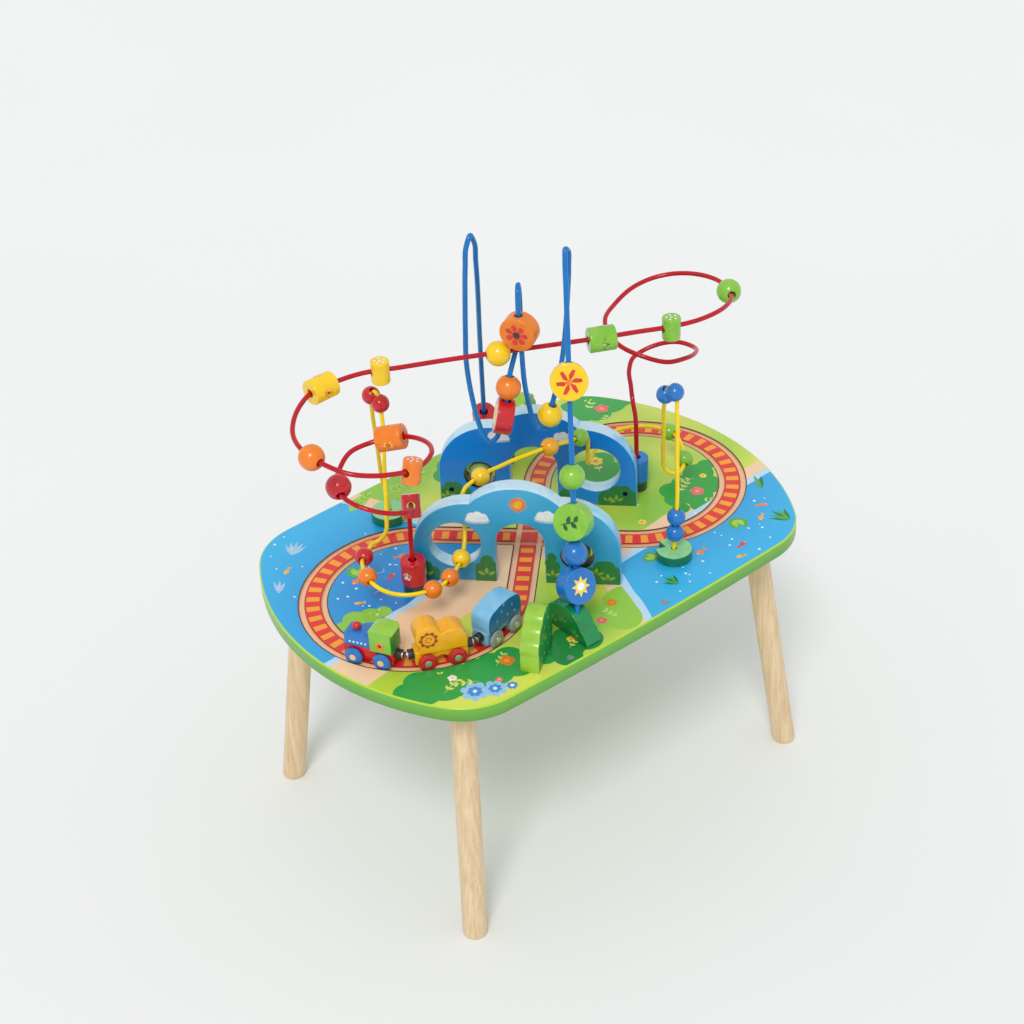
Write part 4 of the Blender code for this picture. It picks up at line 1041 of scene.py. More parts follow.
def panel_look(face):
    """0 for the edge, 1 for the outer face, 2 for the inner one and 3 for the hole walls, which get
    painted shade.
    """
    x, y, _ = face.center
    in_hole = math.hypot(x - SPINNER[0], y - SPINNER[1]) < SPINNER_HOLE + 1 * MM
    in_peg = math.hypot(abs(x) - PEG[0], y - PEG[1]) < PEG_RADIUS + 0.1 * MM
    # The walls of the spinner hole and of the peg holes get the near-black painted shade.
    if (in_hole and abs(face.normal.z) < 0.95) or in_peg:
        return 3
    if abs(face.normal.z) > 0.9:
        return 1 if face.normal.z > 0 else 2
    return 0


def panel(name, place):
    openings = [ring(WINDOW, WINDOW_RADIUS, 96), ring(SPINNER, SPINNER_HOLE, 72)]
    piece = sawn("panel", [panel_outline()] + openings, BRIDGE_THICKNESS, 1.1 * MM, 3)
    cut(piece, *(rod("peg_hole", PEG_RADIUS, 10 * MM, Matrix.Translation(
        (side * PEG[0], PEG[1], PEG_DEPTH - FACE - 5 * MM)), 32) for side in (-1, 1)))
    paint_faces(piece, (PANEL_EDGE, PANEL_FRONT, PANEL_BACK, HOLE_PAINTED_SHADE), panel_look)
    piece.data.transform(place)
    piece.name = f"smooth_{name}"
    finish(piece, None, "table", [name], 40.0)
    inside = place @ Matrix.Rotation(math.pi, 4, "Y")
    for face, matrix, prints in (("outer", place, front_prints()),
                                 ("inner", inside, back_prints())):
        print_layers(f"{name}_{face}_{{ink}}", matrix, FACE, prints, "table")


panel("front_bridge", PANEL_PLACE)
panel("back_bridge", HALF_TURN @ PANEL_PLACE)

for node, place in (("front_spinner", PANEL_PLACE), ("back_spinner", HALF_TURN @ PANEL_PLACE)):
    reach = math.degrees(math.acos(SPINNER_BORE / SPINNER_RADIUS))
    ball = lathe(f"smooth_{node}", arc((0.0, 0.0), SPINNER_RADIUS, reach, -reach, 36), 56, True)
    ball.data.transform(Matrix.Translation(place @ Vector((*SPINNER, 0.0))))
    finish(ball, OLIVE, node, [node])


# Hills, bushes, lily pads and feet

HILL_FACE = faded_paint("hill_face", "0C6B33", "1B8C45", TOP, TOP + 0.035)
HILL_RIM = lacquer("hill_rim", "078C4A", "057C40")
BUSH_RIM = lacquer("bush_rim", "9CCB3B", "8CBF32")
BUSH_FACE = faded_paint("bush_face", "15803B", "249348", TOP, TOP + 0.058)


def sided(name, outline, rim, face_look, edge):
    """A sawn panel whose faces and rim have their own paint."""
    piece = sawn(name, [outline], SCENERY_THICKNESS, edge, 3)
    paint_faces(piece, (rim, face_look), lambda face: int(abs(face.normal.z) > 0.9))
    return piece


def face_prints(name, place, colour, shapes):
    """Prints on both faces of a standing piece, made by shapes for each side."""
    for side in (-1, 1):
        matrix = place @ Matrix.Rotation(math.pi * (side < 0), 4, "Y")
        print_layers(f"{name}_{side + 1}", matrix, SCENERY_THICKNESS / 2,
                     [(colour, 0, shapes(side))], "table")


def hill(node, turn):
    length, height = 67 * MM, 33 * MM
    outline = bulged([
        (length, 0.0, 0.10), (length, 0.45 * height, 0.22), (0.73 * length, 0.93 * height, 0.18),
        (0.49 * length, height, 0.16), (0.28 * length, 0.81 * height, 0.18),
        (0.16 * length, 0.48 * height, 0.25), (0.06 * length, 0.28 * height, 0.22),
        (0.0, 0.0, 0.0)], 12)
    piece = sided("hill", outline, HILL_RIM, HILL_FACE, 1.0 * MM)
    place = turn @ Matrix.Translation((-72 * MM, -191 * MM, SEAT))
    place = place @ Matrix.Rotation(math.pi / 2, 4, "Z") @ FLAT_TO_UPRIGHT
    piece.data.transform(place)
    piece.name = f"smooth_{node}"
    end, following = Vector(BLUE_WIRE_END), Vector(BLUE_WIRE_NEXT)
    along = (following - end).normalized()
    middle = end + along * 20 * MM + Vector((0.0, 0.0, TOP))
    bore = rod("socket", 3.3 * MM, 40 * MM, along.to_track_quat("Z", "Y").to_matrix().to_4x4())
    bore.data.transform(turn @ Matrix.Translation(middle))
    cut(piece, bore)
    finish(piece, None, "table", [node], 40.0)
    face_prints(f"{node}_leaves", place, "leaf", lambda side: [
        one for x, y, lean in ((20, 6, 80), (38, 12, 100), (54, 7, 85))
        for one in sprig(side * x * MM, y * MM, 6.5 * MM, lean)])


hill("front_hill", Matrix.Identity(4))
hill("back_hill", HALF_TURN)


def bush(node, turn):
    length, height = 52 * MM, 58 * MM
    outline = bulged([
        (0.0, 0.0, 0.0), (length, 0.0, 0.12), (length, 0.72 * height, 0.45),
        (0.62 * length, height, 0.30), (0.36 * length, 0.86 * height, 0.35),
        (0.10 * length, 0.62 * height, 0.40), (0.0, 0.36 * height, 0.10)], 14)
    piece = sided("bush", outline, BUSH_RIM, BUSH_FACE, 1.1 * MM)
    tilt = Matrix.Rotation(math.radians(35.0), 4, "Z")
    start = Vector((-129 * MM, -166 * MM, SEAT)) - tilt @ Vector((length / 2, 0.0, 0.0))
    place = turn @ Matrix.Translation(start) @ tilt @ FLAT_TO_UPRIGHT
    piece.data.transform(place)
    piece.name = f"smooth_{node}"
    finish(piece, None, "table", [node], 40.0)
    face_prints(f"{node}_dashes", place, "pale", lambda side: [
        moved(leaf(4.2 * MM, 1.1 * MM), side * x * MM, y * MM, lean) for x, y, lean in (
            (10, 10, 70), (22, 8, 95), (36, 10, 100), (14, 26, 85), (28, 22, 80),
            (42, 26, 105), (26, 38, 90), (38, 42, 80), (34, 52, 95), (46, 14, 80))])


bush("front_bush", Matrix.Identity(4))
bush("back_bush", HALF_TURN)

LILY_RIM = lacquer("lily_rim", "147A48", "106C3E")
LILY_TOP = lacquer("lily_top", "8FD69A", "7FCB8C")
for node, side in (("left_lily", -1), ("right_lily", 1)):
    rim = arc((0.0, 0.0), 20 * MM, 20.0, 340.0, 88)
    outline = rim + [(10 * MM, 0.0)]
    pad = sawn("pad", [outline, ring((0.0, 0.0), 2.8 * MM, 36)], LILY_THICKNESS, 1.0 * MM, 3)
    paint_faces(pad, (LILY_RIM, LILY_TOP), lambda face: int(face.normal.z > 0.9))
    place = Matrix.Translation((-92 * MM, 135 * MM, SEAT + LILY_THICKNESS / 2))
    place = place @ Matrix.Rotation(math.radians(-60.0), 4, "Z")
    if side > 0:
        place = HALF_TURN @ place
    pad.data.transform(place)
    pad.name = f"smooth_{node}"
    finish(pad, None, "table", [node], 40.0)
    veins = []
    for lean in range(50, 340, 40):
        veins.append(moved(leaf(12 * MM, 0.9 * MM), *polar(5 * MM, lean), lean))
    print_layers(f"{node}_veins", place, LILY_THICKNESS / 2, [("lime", 0, veins)], "table")

FOOT_PAINT = lacquer("dark_foot_lacquer", "1F3B2B", "2A4A36", 0.3)
for node, side in (("left_wire_foot", -1), ("right_wire_foot", 1)):
    profile = eased(
        [(3.1 * MM, 11.5 * MM), (12 * MM, 11.5 * MM), (12 * MM, 0.0), (3.1 * MM, 0.0)],
        [0.5 * MM, 1.8 * MM, 0.4 * MM, 0.2 * MM], True)
    foot = lathe(f"smooth_{node}", profile, 48, True)
    foot.data.transform(Matrix.Translation((side * 152 * MM, -side * 9 * MM, SEAT)))
    finish(foot, FOOT_PAINT, "table", [node])

for node in ("front_spinner_pin", "back_spinner_pin"):
    for slot in frame["nodes"][node].material_slots:
        slot.material = PIN


# Beads

UP = (0.0, 0.0, 1.0)
ACROSS = (0.789, -0.615, 0.0)
LEFT = (-0.89, -0.455, 0.0)
VIEWER = (-0.615, -0.789, 0.0)
RIGHT = (-0.138, -0.99, 0.0)
BORE = 4.6 * MM
SMALL_BORE = 3.8 * MM


def bead_matrix(centre, along, facing=UP):
    """The bead's place: its bore along Z, and its own axis Y towards facing."""
    along = Vector(along).normalized()
    front = (Vector(facing) - along * along.dot(Vector(facing))).normalized()
    turn = Matrix((front.cross(along), front, along)).transposed()
    return Matrix.Translation(centre) @ turn.to_4x4()


def node_place(node, facing):
    joint = JOINTS[node]
    if joint["type"] == "slide":
        low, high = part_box(node)
        return bead_matrix((Vector(low) + Vector(high)) / 2, joint["axis"], facing)
    return bead_matrix(Vector(joint["pos_m"]), joint["axis"], facing)


def round_bead(name, diameter, bore):
    radius = diameter / 2
    reach = math.degrees(math.acos(bore / radius))
    sphere = arc((0.0, 0.0), radius, reach, -reach, 40)
    profile = eased(sphere, [0.5 * MM] + [0.0] * 39 + [0.5 * MM], True, 3)
    return lathe(name, profile, 56, True)


def barrel_bead(name):
    profile = eased([(BORE, BARREL_HALF), (BARREL_RADIUS, BARREL_HALF),
                     (BARREL_RADIUS, -BARREL_HALF), (BORE, -BARREL_HALF)],
                    [0.6 * MM, 1.8 * MM, 1.8 * MM, 0.6 * MM], True, 5)
    return lathe(name, profile, 64, True)


def cross_bead(name, diameter, length, ease=1.4 * MM):
    """A short cylinder about Y, bored across along Z."""
    radius, half = diameter / 2, length / 2
    profile = eased([(0.0, half), (radius, half), (radius, -half), (0.0, -half)],
                    [0.0, ease, ease, 0.0], False, 5)
    piece = lathe(name, profile, 72)
    piece.data.transform(Matrix.Rotation(-math.pi / 2, 4, "X"))
    cut(piece, rod("bore", BORE, diameter * 1.4, Matrix.Identity(4), 48))
    return piece


def end_print(name, matrix, half, prints, body):
    """Prints on both ends of a bead, whose own axis is Y."""
    for side in (-1, 1):
        face = matrix @ Matrix.Rotation(-side * math.pi / 2, 4, "X")
        print_layers(f"{name}_{{ink}}_{side + 1}", face, half, prints, body)


LACQUERS = {"red": RED, "orange": ORANGE, "yellow": YELLOW, "green": GREEN, "blue": BLUE,
            "amber": AMBER}


def bead_colour(node):
    for colour in ("red", "orange", "yellow", "green", "blue"):
        if node.startswith(colour) or node == f"hill_{colour}_barrel":
            return colour
    return "red"


def place_bead(piece, node, matrix, colour):
    piece.data.transform(matrix)
    return finish(piece, LACQUERS[colour], node, [node])


for diameter, bore, nodes in (
    (BALL, BORE, ("red_ball", "orange_ball", "yellow_ball", "green_ball", "blue_loop_ball",
                  "green_loop_ball", "orange_loop_ball", "yellow_loop_ball")),
    (SMALL_BALL, SMALL_BORE, (
        "green_bridge_bead", "orange_front_bead", "orange_window_bead", "red_yellow_wire_bead",
        "yellow_bridge_bead", "yellow_window_bead")),
):
    for node in nodes:
        place_bead(round_bead(f"smooth_{node}", diameter, bore), node, node_place(node, UP),
                   bead_colour(node))

for node in ("red_dotted_bead", "yellow_dotted_bead", "green_dotted_bead", "orange_dotted_bead"):
    colour = bead_colour(node)
    matrix = node_place(node, UP)
    place_bead(cross_bead(f"smooth_{node}", DOTTED, DOTTED_LENGTH), node, matrix, colour)
    dots = [round_spot(1.3 * MM)]
    for k in range(5):
        dots.append(moved(round_spot(1.3 * MM), *polar(5.2 * MM, 72 * k)))
    end_print(node, matrix, DOTTED_LENGTH / 2, [("white", 0, dots)], node)


def petals(count, length, width, turn=0.0):
    return [moved(drop(length, width), 0.0, 0.0, turn + 360.0 * k / count)
            for k in range(count)]


def sail(size, turn):
    """One curved sail of a pinwheel."""
    return moved([(0.0, 0.0), (0.45 * size, 0.30 * size), (0.95 * size, 0.25 * size),
                  (1.0 * size, 0.0), (0.55 * size, -0.06 * size)], 0.0, 0.0, turn)


DISC_PRINTS = {
    "red": [("yellow", 0, [blossom(13 * MM, 6)]), ("orange", 1, [round_spot(5 * MM, 24)])],
    "orange": [("red", 0, petals(7, 12.5 * MM, 6.5 * MM)), ("brown", 1, [round_spot(4 * MM, 24)])],
    "yellow": [("red", 0, [sail(13.5 * MM, 60 * k) for k in range(6)]),
               ("orange", 1, [round_spot(3.2 * MM, 24)])],
    "green": [("dark", 0, [moved(leaf(24 * MM, 1.6 * MM), -12 * MM, -3 * MM, 14),
                           moved(leaf(9 * MM, 5 * MM), -3 * MM, -1 * MM, 70),
                           moved(leaf(9 * MM, 5 * MM), 1 * MM, 0, -38),
                           moved(leaf(8 * MM, 4.6 * MM), 5 * MM, 1 * MM, 60),
                           moved(leaf(8 * MM, 4.6 * MM), -7 * MM, -2 * MM, -60)])],
    "blue": [("yellow", 0, [moved(star(11.5 * MM, 8, 0.55), 0, 0)]),
             ("white", 1, [round_spot(4.4 * MM, 24)])],
}
for colour, facing in (("red", ACROSS), ("orange", LEFT), ("yellow", VIEWER), ("green", LEFT),
                       ("blue", RIGHT)):
    node = f"{colour}_disc"
    matrix = node_place(node, facing)
    place_bead(cross_bead(f"smooth_{node}", DISC, DISC_THICKNESS, 1.6 * MM), node, matrix, colour)
    end_print(node, matrix, DISC_THICKNESS / 2, DISC_PRINTS[colour], node)


def wrapped(piece, radius):
    """Bends a flat print round a barrel: its x goes round Z, and its y runs along Z."""
    for vertex in piece.data.vertices:
        x, y, z = vertex.co
        angle = x / radius
        vertex.co = ((radius + z) * math.sin(angle), (radius + z) * math.cos(angle), y)
    return piece


BARREL_PRINTS = {
    "red": [("white", 0, petals(5, 5 * MM, 3.4 * MM, 90)), ("yellow", 1, [round_spot(1.6 * MM)])],
    "orange": [("yellow", 0, [star(6 * MM, 8, 0.6)]), ("red", 1, [round_spot(2.2 * MM)])],
    "yellow": [("orange", 0, petals(6, 5.5 * MM, 3.2 * MM)), ("brown", 1, [round_spot(1.6 * MM)])],
    "green": [("dark", 0, sprig(0.0, -3 * MM, 7 * MM)), ("pale", 1, [round_spot(1.2 * MM)])],
    "blue": [("sun", 0, petals(6, 6 * MM, 3.4 * MM)), ("white", 1, [round_spot(1.8 * MM)])],
}
for node, facing in (
    ("red_barrel", ACROSS), ("blue_barrel", ACROSS), ("hill_red_barrel", ACROSS),
    ("green_barrel", VIEWER), ("orange_barrel", VIEWER), ("yellow_barrel", VIEWER),
):
    colour = bead_colour(node)
    matrix = node_place(node, facing)
    place_bead(barrel_bead(f"smooth_{node}"), node, matrix, colour)
    for layer_colour, layer, outlines in BARREL_PRINTS[colour]:
        for turn in (0, 120, 240):
            piece = flat_shapes(f"{node}_{layer_colour}_{turn}", outlines)
            wrapped(piece, BARREL_RADIUS + PRINT * (0.5 + layer))
            piece.data.transform(matrix @ Matrix.Rotation(math.radians(turn), 4, "Z"))
            finish(piece, INKS[layer_colour], node)


def extra_bead(name, hint, colour, further):
    """A small bead that rests on the yellow wire at the point nearest the hint, or further on."""
    target = Vector((hint[0] * MM, hint[1] * MM, hint[2] * MM + TOP))
    i = min(range(1, len(YELLOW_PATH) - 1), key=lambda k: (YELLOW_PATH[k] - target).length)
    start = YELLOW_PATH[i]
    step = 1 if further >= 0 else -1
    while (YELLOW_PATH[i] - start).length < abs(further):
        i += step
    along = (YELLOW_PATH[min(i + 4, len(YELLOW_PATH) - 1)] - YELLOW_PATH[i - 4]).normalized()
    centre = (YELLOW_PATH[i - 5] + YELLOW_PATH[i + 5] + YELLOW_PATH[i] * 2) / 4
    piece = round_bead(name, SMALL_BALL, SMALL_BORE)
    piece.data.transform(bead_matrix(centre, along))
    finish(piece, LACQUERS[colour], "table")


for name, hint, colour, further in (
    ("extra_red_bead_1", (-117.4, 105.8, 191), "red", -7 * MM),
    ("extra_red_bead_2", (-117.4, 105.8, 191), "red", 14 * MM),
    ("extra_orange_bead", (-209, 11.8, 45.6), "orange", 0.0),
    ("extra_amber_bead", (31, -3.6, 107.2), "amber", 0.0),
    ("extra_green_bead_1", (211, 0, 44), "green", 0.0),
    ("extra_green_bead_2", (190.4, -46.6, 39.4), "green", 0.0),
    ("extra_blue_bead_1", (116.7, -102.5, 191.3), "blue", 7 * MM),
    ("extra_blue_bead_2", (116.7, -102.5, 191.3), "blue", -14 * MM),
    ("extra_blue_bead_3", (97.9, -132.2, 48.7), "blue", 0.0),
    ("extra_blue_bead_4", (94.2, -133.9, 29.5), "blue", 0.0),
):
    extra_bead(name, hint, colour, further)


# Train

CARS = ("engine", "middle_car", "rear_car")
ENGINE_ANGLE = -151.5
CAR_RADIUS = math.sqrt(LOOP_RADIUS ** 2 - (WHEELBASE / 2) ** 2)
CAR_PITCH = 2 * math.degrees(math.atan2(CAR_HALF + 7.86 * MM, CAR_RADIUS - 3.75 * MM))


def car_frame(index):
    """World matrix of a car: X forwards round the loop, Y outwards and Z up."""
    angle = math.radians(ENGINE_ANGLE + index * CAR_PITCH)
    centre = Vector((-LOOP_X, 0.0, TOP))
    centre += Vector((math.cos(angle), math.sin(angle), 0.0)) * CAR_RADIUS
    return Matrix.Translation(centre) @ Matrix.Rotation(angle - math.pi / 2, 4, "Z")


def on_car(index, piece, look=None, replaced=()):
    """Puts a piece made about its car's middle on the car."""
    piece.data.transform(car_frame(index))
    return finish(piece, look, CARS[index], replaced)


def slab(name, outline, width, edge, *looks):
    """A block sawn from its side view, its rims rounded."""
    piece = sawn(name, [outline], width, edge, 3)
    piece.data.transform(FLAT_TO_UPRIGHT)
    return coloured(piece, *looks)


def chassis(name, look, notch):
    low, high = 2.2 * MM, 19 * MM
    outline = [(-CAR_HALF, low), (CAR_HALF, low), (CAR_HALF, high), (-CAR_HALF, high)]
    radii = [3 * MM, 3 * MM, 1 * MM, 1 * MM]
    if notch:
        opening = arc((0.0, low), WHEELBASE * 0.26, 180.0, 0.0, 24)
        outline = [(-CAR_HALF, low)] + opening + outline[1:]
        radii = [3 * MM] + [0.0] * 25 + radii[1:]
    return slab(name, eased(outline, radii, True, 5), CHASSIS_WIDTH, 1.2 * MM, look)


def coupler(index, side):
    end = CAR_HALF + 6.2 * MM
    turn = Matrix.Rotation(math.pi / 2, 4, "Y")
    cup = rod("cup", 5.5 * MM, 7.8 * MM, Matrix.Translation(
        (side * (end - 3.9 * MM), 0.0, COUPLER_HEIGHT)) @ turn, 48)
    soften(cup, 0.7 * MM)
    magnet = rod("magnet", 3.75 * MM, 3.2 * MM, Matrix.Translation(
        (side * end, 0.0, COUPLER_HEIGHT)) @ turn)
    soften(magnet, 0.35 * MM)
    for part, look, word in ((cup, BLACK, "cup"), (magnet, MAGNET, "magnet")):
        part.name = f"{CARS[index]}_{word}_{side + 1}"
        on_car(index, part, look)


def side_print(name, index, x, z, half, prints):
    """Prints on both sides of a car, upright. The side fills its place in the name."""
    for side in (-1, 1):
        matrix = car_frame(index) @ Matrix.Translation((x, 0.0, z))
        matrix = matrix @ Matrix.Rotation(math.pi * (side > 0), 4, "Z") @ FLAT_TO_UPRIGHT
        print_layers(name.replace("{side}", str(side + 1)), matrix, half, prints, CARS[index])


def engine():
    base = chassis("engine_base", RED, False)
    boiler_outline = eased(
        [(-4 * MM, BODY_FLOOR), (26.75 * MM, BODY_FLOOR), (26.75 * MM, 34.5 * MM),
         (-4 * MM, 34.5 * MM)],
        [0.0, 0.8 * MM, 3.5 * MM, 0.0], True, 6)
    boiler = slab("engine_boiler", boiler_outline, 20 * MM, 2.0 * MM, BLUE)
    front, rear, eaves = -3 * MM, -CAR_HALF, 42 * MM
    half = (front - rear) / 2 + 1.2 * MM
    rise = 4.5 * MM
    radius = (half ** 2 + rise ** 2) / (2 * rise)
    centre = ((front + rear) / 2, eaves - 0.4 * MM + rise - radius)
    spread = math.degrees(math.asin(half / radius))
    roof = arc(centre, radius, 90.0 - spread, 90.0 + spread, 28)
    outline = [(rear, BODY_FLOOR), (front, BODY_FLOOR), (front, eaves)] + roof + [(rear, eaves)]
    cab = slab("engine_cab", outline, CAR_WIDTH, 1.1 * MM)
    paint_faces(cab, (GREEN, LIME, DEEP_GREEN),
                lambda face: 1 if face.normal.z > 0.3 else 2 * int(face.normal.x < -0.7))
    dome = globe("engine_dome", 4.75 * MM, Matrix.Translation((15.3 * MM, 0.0, 37.55 * MM)))
    on_car(0, base, None, ["engine"])
    on_car(0, boiler)
    on_car(0, cab)
    on_car(0, dome, RED)
    coupler(0, -1)
    dots = [moved(round_spot(1.2 * MM), k * 4.4 * MM, 0.0) for k in (-2, -1, 0, 1, 2)]
    side_print("engine_dots_{ink}_{side}", 0, 11 * MM, 24 * MM, 10 * MM, [("white", 0, dots)])
    side_print("engine_flower_{ink}_{side}", 0, -15 * MM, 27 * MM, CAR_WIDTH / 2, [
        ("orange", 0, [blossom(5.2 * MM, 6)]), ("brown", 1, [round_spot(1.9 * MM)])])


def middle_car():
    base = chassis("middle_base", AMBER, True)
    head = arc((13.3 * MM, 37 * MM), 13.5 * MM, -50.0, 170.0, 48)
    back = arc((-11.7 * MM, 27 * MM), 15.8 * MM, 62.0, 180.0, 36)
    outline = [(1 * MM - CAR_HALF, BODY_FLOOR), (CAR_HALF - 4 * MM, BODY_FLOOR)] + head + back
    body = slab("middle_body", outline, CAR_WIDTH, 1.2 * MM, AMBER)
    on_car(1, base, None, ["middle_car"])
    on_car(1, body)
    coupler(1, -1)
    coupler(1, 1)
    seeds = [moved(round_spot(0.9 * MM, 10), 3 * MM * math.cos(k), 3 * MM * math.sin(k))
             for k in range(6)]
    side_print("middle_sunflower_{side}_{layer}", 1, 13.3 * MM, 35 * MM, CAR_WIDTH / 2, [
        ("brick", 0, [blossom(10.2 * MM, 9)]), ("sun", 1, [round_spot(6.4 * MM, 28)]),
        ("brick", 2, seeds)])


def rear_car():
    base = chassis("rear_base", LIGHT_BLUE, True)
    half, end, top = CAR_HALF, CAR_HALF - 1 * MM, 45 * MM
    outline = bulged([
        (-end, BODY_FLOOR, 0.0), (end, BODY_FLOOR, 0.08), (end, 0.73 * top, 0.40),
        (0.55 * half, 0.945 * top, 0.12), (0.05 * half, top, 0.10),
        (-0.55 * half, 0.98 * top, 0.40), (-end, 0.71 * top, 0.08)], 14)
    body = slab("rear_body", outline, CAR_WIDTH, 1.2 * MM)
    paint_faces(body, (LIGHT_BLUE, STEEL_BLUE), lambda face: int(abs(face.normal.y) > 0.8))
    on_car(2, base, None, ["rear_car"])
    on_car(2, body)
    coupler(2, -1)
    coupler(2, 1)
    drops = [moved(leaf(4.5 * MM, 2.2 * MM), x * MM, y * MM, lean) for x, y, lean in (
        (-14, -2, 70), (-6, 6, 80), (4, -3, 95), (12, 5, 100), (-2, 12, 85), (15, -5, 80))]
    side_print("rear_drops_{ink}_{side}", 2, 0.0, 28 * MM, CAR_WIDTH / 2, [("sky", 0, drops)])


def wheels(index, end, side, look, hub_look):
    node = f"{CARS[index]}_{end}_wheels"
    place = car_frame(index) @ Matrix.Translation((side * WHEELBASE / 2, 0.0, AXLE_HEIGHT))
    tyre = eased(
        [(0.0, 2.6 * MM), (6.6 * MM, 2.6 * MM), (WHEEL_RADIUS, 1.1 * MM),
         (WHEEL_RADIUS, -1.1 * MM), (6.6 * MM, -2.6 * MM), (0.0, -2.6 * MM)],
        [0.0, 1.2 * MM, 1.0 * MM, 1.0 * MM, 1.2 * MM, 0.0])
    cap = eased([(0.0, 3.3 * MM), (3.6 * MM, 3.3 * MM), (3.6 * MM, 2.4 * MM), (0.0, 2.4 * MM)],
                [0.0, 0.5 * MM, 0.0, 0.0])
    parts, hubs = [], []
    for flip in (-1, 1):
        upright = place @ Matrix.Translation((0.0, flip * GROOVE_MIDDLE, 0.0))
        upright = upright @ Matrix.Rotation(-flip * math.pi / 2, 4, "X")
        for made, name, profile, sides, paint in (
            (parts, "wheel", tyre, 56, look), (hubs, "hub", cap, 36, hub_look),
        ):
            made.append(coloured(lathe(name, profile, sides), paint))
            made[-1].data.transform(upright)
    parts.append(coloured(rod("axle", 1.5 * MM, 22 * MM, place @ FLAT_TO_UPRIGHT, 24), PIN))
    pair = joined(*parts)
    pair.name = f"smooth_{node}"
    finish(pair, None, node, [node], 35.0)
    pins = joined(*hubs)
    pins.name = f"{node}_hubs"
    finish(pins, None, node)


engine()
middle_car()
rear_car()
for index, look, hub_look, slot in (
    (0, BLUE, HUB_WOOD, "engine_wheel_paint"), (1, RED, HUB_STEEL, "middle_wheel_paint"),
    (2, GREY, HUB_STEEL, "rear_wheel_paint"),
):
    for end, side in (("front", 1), ("rear", -1)):
        wheels(index, end, side, look, hub_look)


# Printed shapes on the board, in millimetres

STENCILS = {}
TAKEN = []


def on_track(x, y, margin):
    """Whether a point lies within the margin of the track's middle line."""
    x, y = abs(x), abs(y)
    radius, middle = LOOP_RADIUS / MM, LOOP_X / MM
    if (x + y) / math.sqrt(2.0) < radius:
        return abs(x - y) / math.sqrt(2.0) < margin
    return abs(math.hypot(x - middle, y) - radius) < margin


def inside_board(x, y):
    """Whether a point lies on the board, away from its rim."""
    px, py = x * MM / BOARD_SHARE, y * MM / BOARD_SHARE
    inside = False
    for (ax, ay), (bx, by) in zip(BOARD_OUTLINE, BOARD_OUTLINE[1:] + BOARD_OUTLINE[:1]):
        if (ay > py) != (by > py) and px < (bx - ax) * (py - ay) / (by - ay) + ax:
            inside = not inside
    return inside


def lay(colour, layer, *outlines):
    """Keeps the outlines that lie wholly on the board and clear of the track."""
    for outline in outlines:
        if all(inside_board(x, y) and not on_track(x, y, TRACK_CLEARANCE) for x, y in outline):
            STENCILS.setdefault((colour, layer), []).append(outline)
            middle = Vector((sum(x for x, y in outline), sum(y for x, y in outline))) / len(outline)
            TAKEN.append((middle, max((Vector(point) - middle).length for point in outline)))


def scatter(colour, outline, x, y, turn=0.0):
    """Lays a small shape where no other lies."""
    reach = max(math.hypot(a, b) for a, b in outline)
    if all((middle - Vector((x, y))).length > reach + other for middle, other in TAKEN):
        lay(colour, 1, moved(outline, x, y, turn))


def twig(x, y, length, turn):
    """A thin pale stem with three pairs of leaves."""
    lay("pale", 1, moved(leaf(length, length * 0.035), x, y, turn))
    for k in range(3):
        a, b = polar(length * (0.3 + 0.55 * k / 2), turn)
        for side in (-1, 1):
            lay("pale", 1, moved(leaf(length * 0.24, length * 0.12), x + a, y + b,
                                 turn + side * 48))


def reeds(x, y, size, turn, *colours):
    """Five blades from one point."""
    for k in range(5):
        lay(colours[k % 2], 1 + k % 2, moved(
            leaf(size * (1 - 0.07 * abs(k - 2)), size * 0.17), x, y, turn + (k - 2) * 17))


def frond(x, y, size, turn):
    """A big leaf with ribs."""
    lay("lime", 1, moved(leaf(size, size * 0.36), x, y, turn))
    for k in range(4):
        a, b = polar(size * (0.2 + 0.17 * k), turn)
        for side in (-1, 1):
            lay("leaf", 2, moved(leaf(size * 0.16, size * 0.03), x + a, y + b, turn + side * 38))


def swimmer(x, y, length, turn, colour):
    body, tail = fish(length)
    lay(colour, 2, moved(body, x, y, turn), moved(tail, x, y, turn))
    a, b = polar(length * 0.14, turn)
    lay("white", 3, moved(round_spot(length * 0.05, 8), x + a, y + b))


def pad_print(x, y, radius, turn):
    outline = arc((0.0, 0.0), radius, 22.0, 338.0, 22) + [(radius * 0.25, 0.0)]
    inner = arc((0.0, 0.0), radius * 0.62, 30.0, 330.0, 18) + [(0.0, 0.0)]
    lay("leaf", 1, moved(outline, x, y, turn))
    lay("lime", 2, moved(inner, x, y, turn))


for x, y, length, turn, colour in (
    (-196, 62, 17, 25, "orange"), (-150, 48, 15, 200, "red"), (-215, 34, 13, 330, "sun"),
    (-120, 66, 16, 160, "orange"), (-262, 60, 15, 80, "red"), (-240, 128, 14, 30, "sun"),
    (112, -150, 17, 10, "orange"), (168, -168, 15, 190, "red"), (208, -150, 14, 30, "sun"),
    (140, -182, 13, 340, "sun"), (236, -134, 15, 150, "orange"),
):
    swimmer(x, y, length, turn, colour)
for x, y, radius, turn in ((92, -140, 12, 40), (186, -138, 11, 250), (72, -118, 9, 120),
                           (-178, 78, 12, 60), (-138, 24, 9, 300), (-278, 30, 9, 20)):
    pad_print(x, y, radius, turn)
for x, y, size, turn in ((-264, 104, 24, 70), (-214, 152, 26, 40)):
    reeds(x, y, size, turn, "sky", "mist")
for x, y, size, turn in ((252, -108, 30, 80), (232, -172, 26, 95), (62, -174, 20, 100),
                         (-96, 58, 24, 95)):
    reeds(x, y, size, turn, "bush", "leaf")

